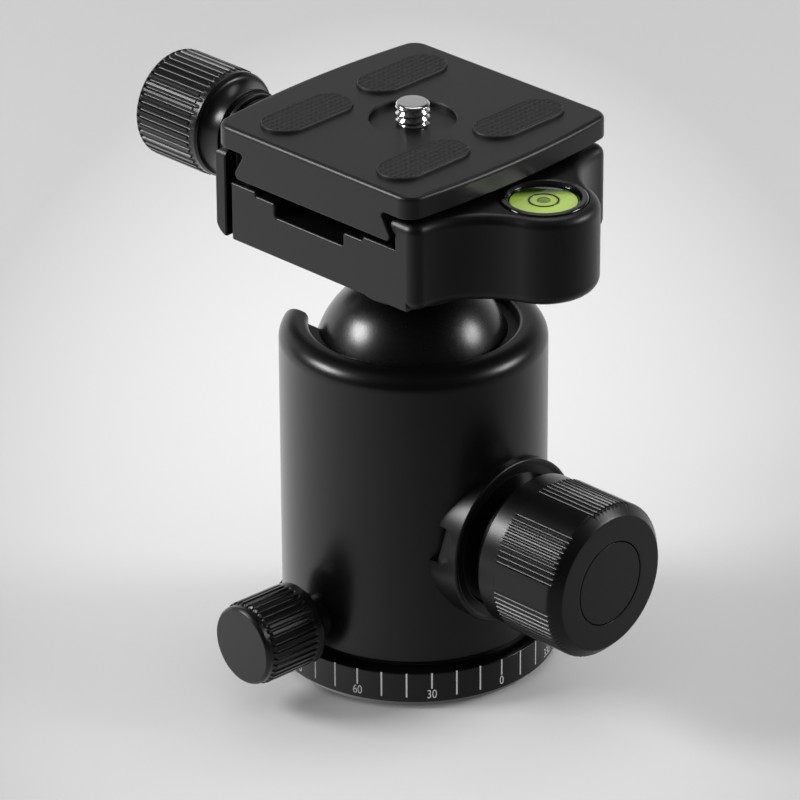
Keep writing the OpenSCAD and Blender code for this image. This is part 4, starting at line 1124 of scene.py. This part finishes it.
@dataclass
class QuickPlate:
    """Quick release plate with its beaded pads and the camera screw."""

    tail: Dovetail = field(default_factory=Dovetail)
    top: float = 108.4
    flange: float = 104.0
    low: float = 98.6
    tip_round: float = 1.1
    neck_round: float = 0.7
    half_x: float = 26.5
    half_y: float = 26.25
    bow: float = 1.94
    corner: float = 3.4
    edge: float = 0.95
    small_edge: float = 0.35
    lead: float = 0.25
    recess_r: float = 8.0
    recess_depth: float = 1.0
    thread_r: float = 2.6
    pocket_r: float = 8.4
    pocket_top: float = 103.0
    pad_w: float = 8.8
    pad_len: float = 20.2
    pad_x: float = 14.7
    pad_y: float = 12.4
    pad_top: float = 109.05
    pad_sink: float = 0.65
    pad_gap: float = 0.06
    bead: float = 1.25
    bead_depth: float = 0.3
    pitch: float = 1.27
    crest: float = 3.175
    root: float = 2.3
    screw_top: float = 111.6
    screw_head: Triple = (7.6, 99.55, 102.9)
    slot_top: float = 101.15

    def build(self) -> None:
        """Makes the plate, the four pads and the screw."""
        in_foot, up_foot = quarter(self.small_edge, 4)
        in_top, up_top = quarter(self.edge, 8)
        height = np.concatenate([self.flange + self.small_edge - up_foot[::-1], self.top - self.edge + up_top])
        rings = offset(self._plan(), -np.concatenate([in_foot[::-1], in_top]))
        piece = mesh_object("release_plate", loft(rings, HEAD_AXIS, height))
        reach = self.half_y - self.small_edge
        ends = np.concatenate([-reach - up_foot[::-1], reach + up_foot])
        rings = offset(self._dovetail(), -np.concatenate([in_foot[::-1], in_foot]))
        combine(piece, loft(rings, FRONT_AXIS, ends), Cut.JOIN)
        r, lead, low = self.recess_r, self.recess_r + self.lead, self.top - self.recess_depth
        recess = np.array([[0.0, low], [r, low], [r, self.top - self.lead], [lead, self.top],
                           [lead, self.top + 2.0], [0.0, self.top + 2.0]])
        combine(piece, lathe(recess, HEAD_AXIS, 128))
        for radius, end in ((self.thread_r, self.top), (self.pocket_r, self.pocket_top)):
            combine(piece, prism(circle(radius, 96), HEAD_AXIS, self.low - 2.0, end))
        places = [(x, y) for x in (-self.pad_x, self.pad_x) for y in (-self.pad_y, self.pad_y)]
        for x, y in places:
            pocket = self._pad_outline(x, y, self.pad_gap)
            combine(piece, prism(pocket, HEAD_AXIS, self.top - self.pad_sink, self.top + 1.0))
        dress(piece, "plate", "plate_anodised", BLASTED, "quick_plate", sharp=30.0)
        pads = sum((self._pad(x, y) for x, y in places), NOTHING)
        add("knurled_pads", pads, "plate", "pad_rubber", RUBBER, "plate_pads", sharp=75.0)
        self._screw()

    def _plan(self) -> Array:
        """Plan of the plate: bowed sides, straight ends and round corners, mirrored from one corner."""
        radius = (self.half_y**2 + self.bow**2) / (2.0 * self.bow)
        inner_y = self.half_y - self.corner
        reach = math.degrees(math.asin(inner_y / radius))
        side = arc((self.half_x - radius, 0.0), radius, 0.0, reach, 12)
        turn = arc((side[-1, 0] - self.corner, inner_y), self.corner, reach, 90.0, 10)
        corner = np.vstack([side, turn[1:]])
        upper = np.vstack([corner, corner[:0:-1] * np.array([-1.0, 1.0])])
        return np.vstack([upper, -upper])

    def _dovetail(self) -> Array:
        """Profile of the dovetail under the flange, with a hollow neck and round lower edges."""
        tip = arc((self.tail.wide - self.tip_round, self.low + self.tip_round), self.tip_round, -90.0,
                  self.tail.lean, 8)
        high = self.flange - self.neck_round
        neck = arc((self.tail.half(high) + self.neck_round, high), self.neck_round, 180.0, 90.0, 6)
        right = np.vstack([tip, neck, [[neck[-1, 0], self.flange + 0.8]]])
        return np.vstack([right, right[::-1] * np.array([-1.0, 1.0])])

    def _pad_outline(self, x: float, y: float, grow: float) -> Array:
        """Outline of a pad: a rectangle with two round ends."""
        radius, straight = 0.5 * self.pad_w + grow, 0.5 * (self.pad_len - self.pad_w)
        ends = [arc((x, y + s * straight), radius, start, start + 180.0, 24) for s, start in ((1, 0.0), (-1, 180.0))]
        return np.vstack(ends)

    def _pad(self, x: float, y: float) -> Shell:
        """Pad as a grid of scaled outlines, with rows of round beads as height.

        The bead's height is the product of two raised cosines, one along x and one along y. The beads fade into a
        smooth raised rim at the pad's round edge.

        Args:
            x: the pad's middle.
            y: the pad's middle.

        Returns:
            The pad.
        """
        rim, fall = np.array([0.93, 0.96, 0.985, 1.0]), np.array([0.0, 0.06, 0.16, 0.35])
        share = np.concatenate([np.linspace(0.0, rim[0], 42), rim[1:]])
        line = self._pad_outline(x, y, 0.0)
        outline = refine(np.vstack([line, line[:1]]), 0.14)[:-1]
        inner = 0.5 * (self.pad_len - self.pad_w)
        spine = np.stack([np.full(len(outline), x), np.clip(outline[:, 1], y - inner, y + inner)], axis=1)
        spot = spine[None] + share[:, None, None] * (outline - spine)[None]
        bead = 0.5 + 0.5 * np.cos(spot * TURN / self.bead)
        fade = np.clip((0.97 - share) / 0.05, 0.0, 1.0)[:, None]
        drop = np.interp(share, rim, fall)[:, None]
        height = self.pad_top - self.bead_depth * (1.0 - bead[..., 0] * bead[..., 1]) * fade - drop
        foot = np.insert(outline, 2, self.top - self.pad_sink, axis=1)[None]
        wall = grid(np.concatenate([np.concatenate([spot, height[..., None]], axis=2), foot]), False, True)
        last = len(wall.points) - len(outline)
        return Shell(wall.points, wall.faces + [tuple(range(last, len(wall.points)))])

    def _screw(self) -> None:
        """Makes the camera screw, with its thread as a triangle wave along a helix, and its slotted head."""
        root, crest, high, low = self.root, self.crest, self.screw_top, self.top - self.recess_depth + 0.1
        head_r, foot, head = self.screw_head
        body = refine(fillet([(root, low), (crest, low), (crest, high - 0.45, 0.15), (crest - 0.5, high, 0.15)]), 0.06)
        under = fillet([(0.0, foot), (head_r, foot, 0.3), (head_r, head, 0.3), (root, head), (root, low)])

        def thread(angle: Array, line: Array) -> Array:
            """Depth is a rounded triangle wave of the distance minus the angle's share of the pitch."""
            phase = (line[:, 1:2] / self.pitch - angle[None] / TURN) % 1.0
            fade = np.clip((high - 0.35 - line[:, 1:2]) / 0.3, 0.0, 1.0) * (line[:, 1:2] > low - 0.01)
            return 0.62 * np.clip(np.abs(2.0 * phase - 1.0) - 0.12, 0.0, 1.0) * fade * (line[:, :1] > root + 0.05)

        section = np.vstack([under[:-1], body, [[0.0, high]]])
        piece = mesh_object("chrome_screw", lathe(section, HEAD_AXIS, 96, relief=thread))
        slot = np.array([[-8.5, -0.9], [8.5, -0.9], [8.5, 0.9], [-8.5, 0.9]])
        combine(piece, prism(slot, HEAD_AXIS, self.low - 0.6, self.slot_top))
        dress(piece, "mounting_screw", "screw_chrome", CHROME, "camera_screw", sharp=50.0)


def dress_inner_nodes() -> None:
    """Gives the nodes that keep their own shape their finishes."""
    finishes = {
        "steel": STEEL, "slide_polymer": POLYMER, "cup_brass": BRASS, "knob_anodised": LOCK_KNOB,
        "body_anodised": BODY, "base_anodised": BODY, "ball_anodised": BALL, "clamp_anodised": MILLED,
        "plate_anodised": BLASTED, "pad_rubber": RUBBER, "screw_chrome": CHROME, "level_fluid": LIME,
    }
    slots = {part["node"]: part["material_slot"] for part in frame["record"]["subparts"]}
    for name, node in frame["nodes"].items():
        node.data.materials.clear()
        node.data.materials.append(finishes[slots[name]].material())


# Studio

@dataclass
class Studio:
    """Camera, floor and lamps: a panel's turn from the camera and height in degrees, distance, size and power."""

    azimuth: float = 44.338
    elevation: float = 26.97
    roll: float = -0.291
    distance: float = 1043.74
    target_right: float = -2.55
    target_height: float = 50.818
    focal_px: float = 5605.8
    frame_px: float = 800.0
    sensor_mm: float = 36.0
    # Floor colour, a painted pool of light: its half width in millimetres, its colour round the head and the darker
    # colour at its edge.
    pool_half_mm: float = 95.0
    pool: float = 0.75
    shade: float = 0.51
    # The paper's glow in what the head mirrors, set by direction and by distance from the head: painted light in the
    # head's reflections.
    low_light: float = 0.78
    low_front: float = 0.42
    low_left: float = 0.27
    low_near: float = -0.04
    low_far: float = -0.16
    low_fall: float = 1.35
    air: float = 0.1
    air_back: float = 0.12
    air_left: float = 0.02
    fill: float = 0.75
    panels: tuple[tuple[str, float, float, float, Pair, float], ...] = (
        ("left box", -87.0, 33.0, 900.0, (380.0, 250.0), 5.0),
        ("right box", 90.0, 28.0, 900.0, (340.0, 240.0), 2.6),
        ("rear box", 170.0, 66.0, 1200.0, (800.0, 400.0), 2.0),
    )

    def build(self) -> None:
        """Makes the camera, the floor and the lights."""
        self._camera()
        self._floor()
        self._air()
        self._lamps()

    @property
    def away(self) -> Vector:
        """Level direction away from the camera."""
        return -self._toward(0.0, 0.0)

    @property
    def side(self) -> Vector:
        """Level direction to the camera's right."""
        return self._toward(90.0, 0.0)

    def _toward(self, turn: float, height: float) -> Vector:
        """Direction turned from the camera's azimuth, and raised over the floor, in degrees."""
        az, el = math.radians(self.azimuth + turn), math.radians(height)
        return Vector((math.sin(az) * math.cos(el), -math.cos(az) * math.cos(el), math.sin(el)))

    def _camera(self) -> None:
        """Stands the camera where the photograph was taken from."""
        roll, back, right = math.radians(self.roll), self._toward(0.0, self.elevation), self.side
        up = back.cross(right)
        target = right * self.target_right + Vector((0.0, 0.0, self.target_height))
        turned_right = right * math.cos(roll) + up * math.sin(roll)
        turned_up = up * math.cos(roll) - right * math.sin(roll)
        data = bpy.data.cameras.new("camera")
        data.sensor_width, data.lens = self.sensor_mm, self.focal_px * self.sensor_mm / self.frame_px
        data.clip_start, data.clip_end = 0.05, 20.0
        camera = bpy.data.objects.new("camera", data)
        turn = Matrix((turned_right, turned_up, back)).transposed().to_4x4()
        camera.matrix_world = Matrix.Translation((target + back * self.distance) * MM) @ turn
        bpy.context.scene.collection.objects.link(camera)
        bpy.context.scene.camera = camera

    def _floor(self) -> None:
        """Lays a pale floor that curves up into a backdrop."""
        line = fillet([(-4000.0, 0.0), (2500.0, 0.0, 1200.0), (2500.0, 4000.0)], step=5.0)
        ways = np.array([-3500.0, 3500.0])
        points = (line[:, None, :1] * np.array(self.away) + ways[None, :, None] * np.array(self.side)
                  + line[:, None, 1:] * np.array([0.0, 0.0, 1.0]) - np.array([0.0, 0.0, 0.02]))
        floor = mesh_object("studio_floor", grid(points, False, False))
        floor.data.shade_smooth()
        floor.data.materials.append(self._paper())

    def _paper(self) -> bpy.types.Material:
        """Makes the floor's paper: its colour is a painted pool of light, palest round the head; in what the head
        mirrors it glows instead of taking light, darker towards the front, which is painted light in the head's
        reflections.

        Returns:
            The material.
        """
        made = bpy.data.materials.new("pale studio paper")
        made.use_nodes = True
        tree = NodeTree(made.node_tree)
        place, paper = tree.place(), tree.find("BSDF_PRINCIPLED")
        # Painted pool of light: the paper's colour is palest round the head and darker further out.
        across = tree.slope(place, self.side / self.pool_half_mm / MM)
        depth = tree.slope(place, self.away * 0.42 / self.pool_half_mm / MM, -0.35)
        reach = tree.math("ADD", tree.math("MULTIPLY", across, across), tree.math("MULTIPLY", depth, depth))
        colour = tree.mix_colour(tree.range(reach, 0.0, 1.0), (self.pool,) * 3, (self.shade,) * 3)
        tree.fill(paper, {"Base Color": colour, "Roughness": 0.9, "Specular IOR Level": 0.1})
        # Painted light in reflections: in glossy rays the paper glows with a strength set by distance and direction
        # instead of taking light.
        near = tree.range(tree.vector("LENGTH", place), self.low_near, self.low_far, 0.05, 0.22)
        climb = self.away * self.low_front - self.side * self.low_left - Vector((0.0, 0.0, self.low_fall))
        seen = tree.slope(tree.vector("NORMALIZE", place, output="Vector"), climb, self.low_light)
        glow = tree.add("Emission", {"Strength": tree.math("MAXIMUM", tree.math("ADD", seen, near), 0.02)})
        glossy = tree.add("LightPath", {}, "Is Glossy Ray")
        mix = tree.add("MixShader", {0: glossy, 1: paper.outputs["BSDF"], 2: glow})
        tree.fill(tree.find("OUTPUT_MATERIAL"), {"Surface": mix})
        return made

    def _air(self) -> None:
        """Fills the room with dim air, which mirrors darkest on the camera's side."""
        world = bpy.data.worlds.new("studio air")
        world.use_nodes = True
        tree = NodeTree(world.node_tree)
        climb = self.away * self.air_back - self.side * self.air_left
        seen = tree.slope(tree.place("Generated"), climb, self.air, 0.015)
        strength = tree.mix(tree.add("LightPath", {}, "Is Glossy Ray"), self.fill, seen)
        tree.fill(tree.find("BACKGROUND"), {"Color": (1.0, 1.0, 1.0, 1.0), "Strength": strength})
        bpy.context.scene.world = world

    def _lamps(self) -> None:
        """Hangs the soft boxes, which face the head."""
        for name, turn, height, distance, size, watts in self.panels:
            way = self._toward(turn, height)
            data = bpy.data.lights.new(name, "AREA")
            data.shape, data.energy = "ELLIPSE", watts
            data.size, data.size_y = size[0] * MM, size[1] * MM
            lamp = bpy.data.objects.new(name, data)
            lamp.location = Vector((0.0, 0.0, 0.06)) + way * distance * MM
            lamp.rotation_euler = way.to_track_quat("Z", "Y").to_euler()
            bpy.context.scene.collection.objects.link(lamp)


def main() -> None:
    """Builds the head and the studio round it."""
    logging.basicConfig(level=logging.INFO, format="%(message)s")
    bpy.context.scene.view_settings.view_transform = "Standard"
    dress_inner_nodes()
    for part in (PanningBase(), Housing(), BallStem(), MainKnob(), PanKnob(), JawKnob(), Clamp(), QuickPlate()):
        part.build()
        LOG.info("built %s", type(part).__name__)
    Studio().build()


if __name__ == "__main__":
    main()
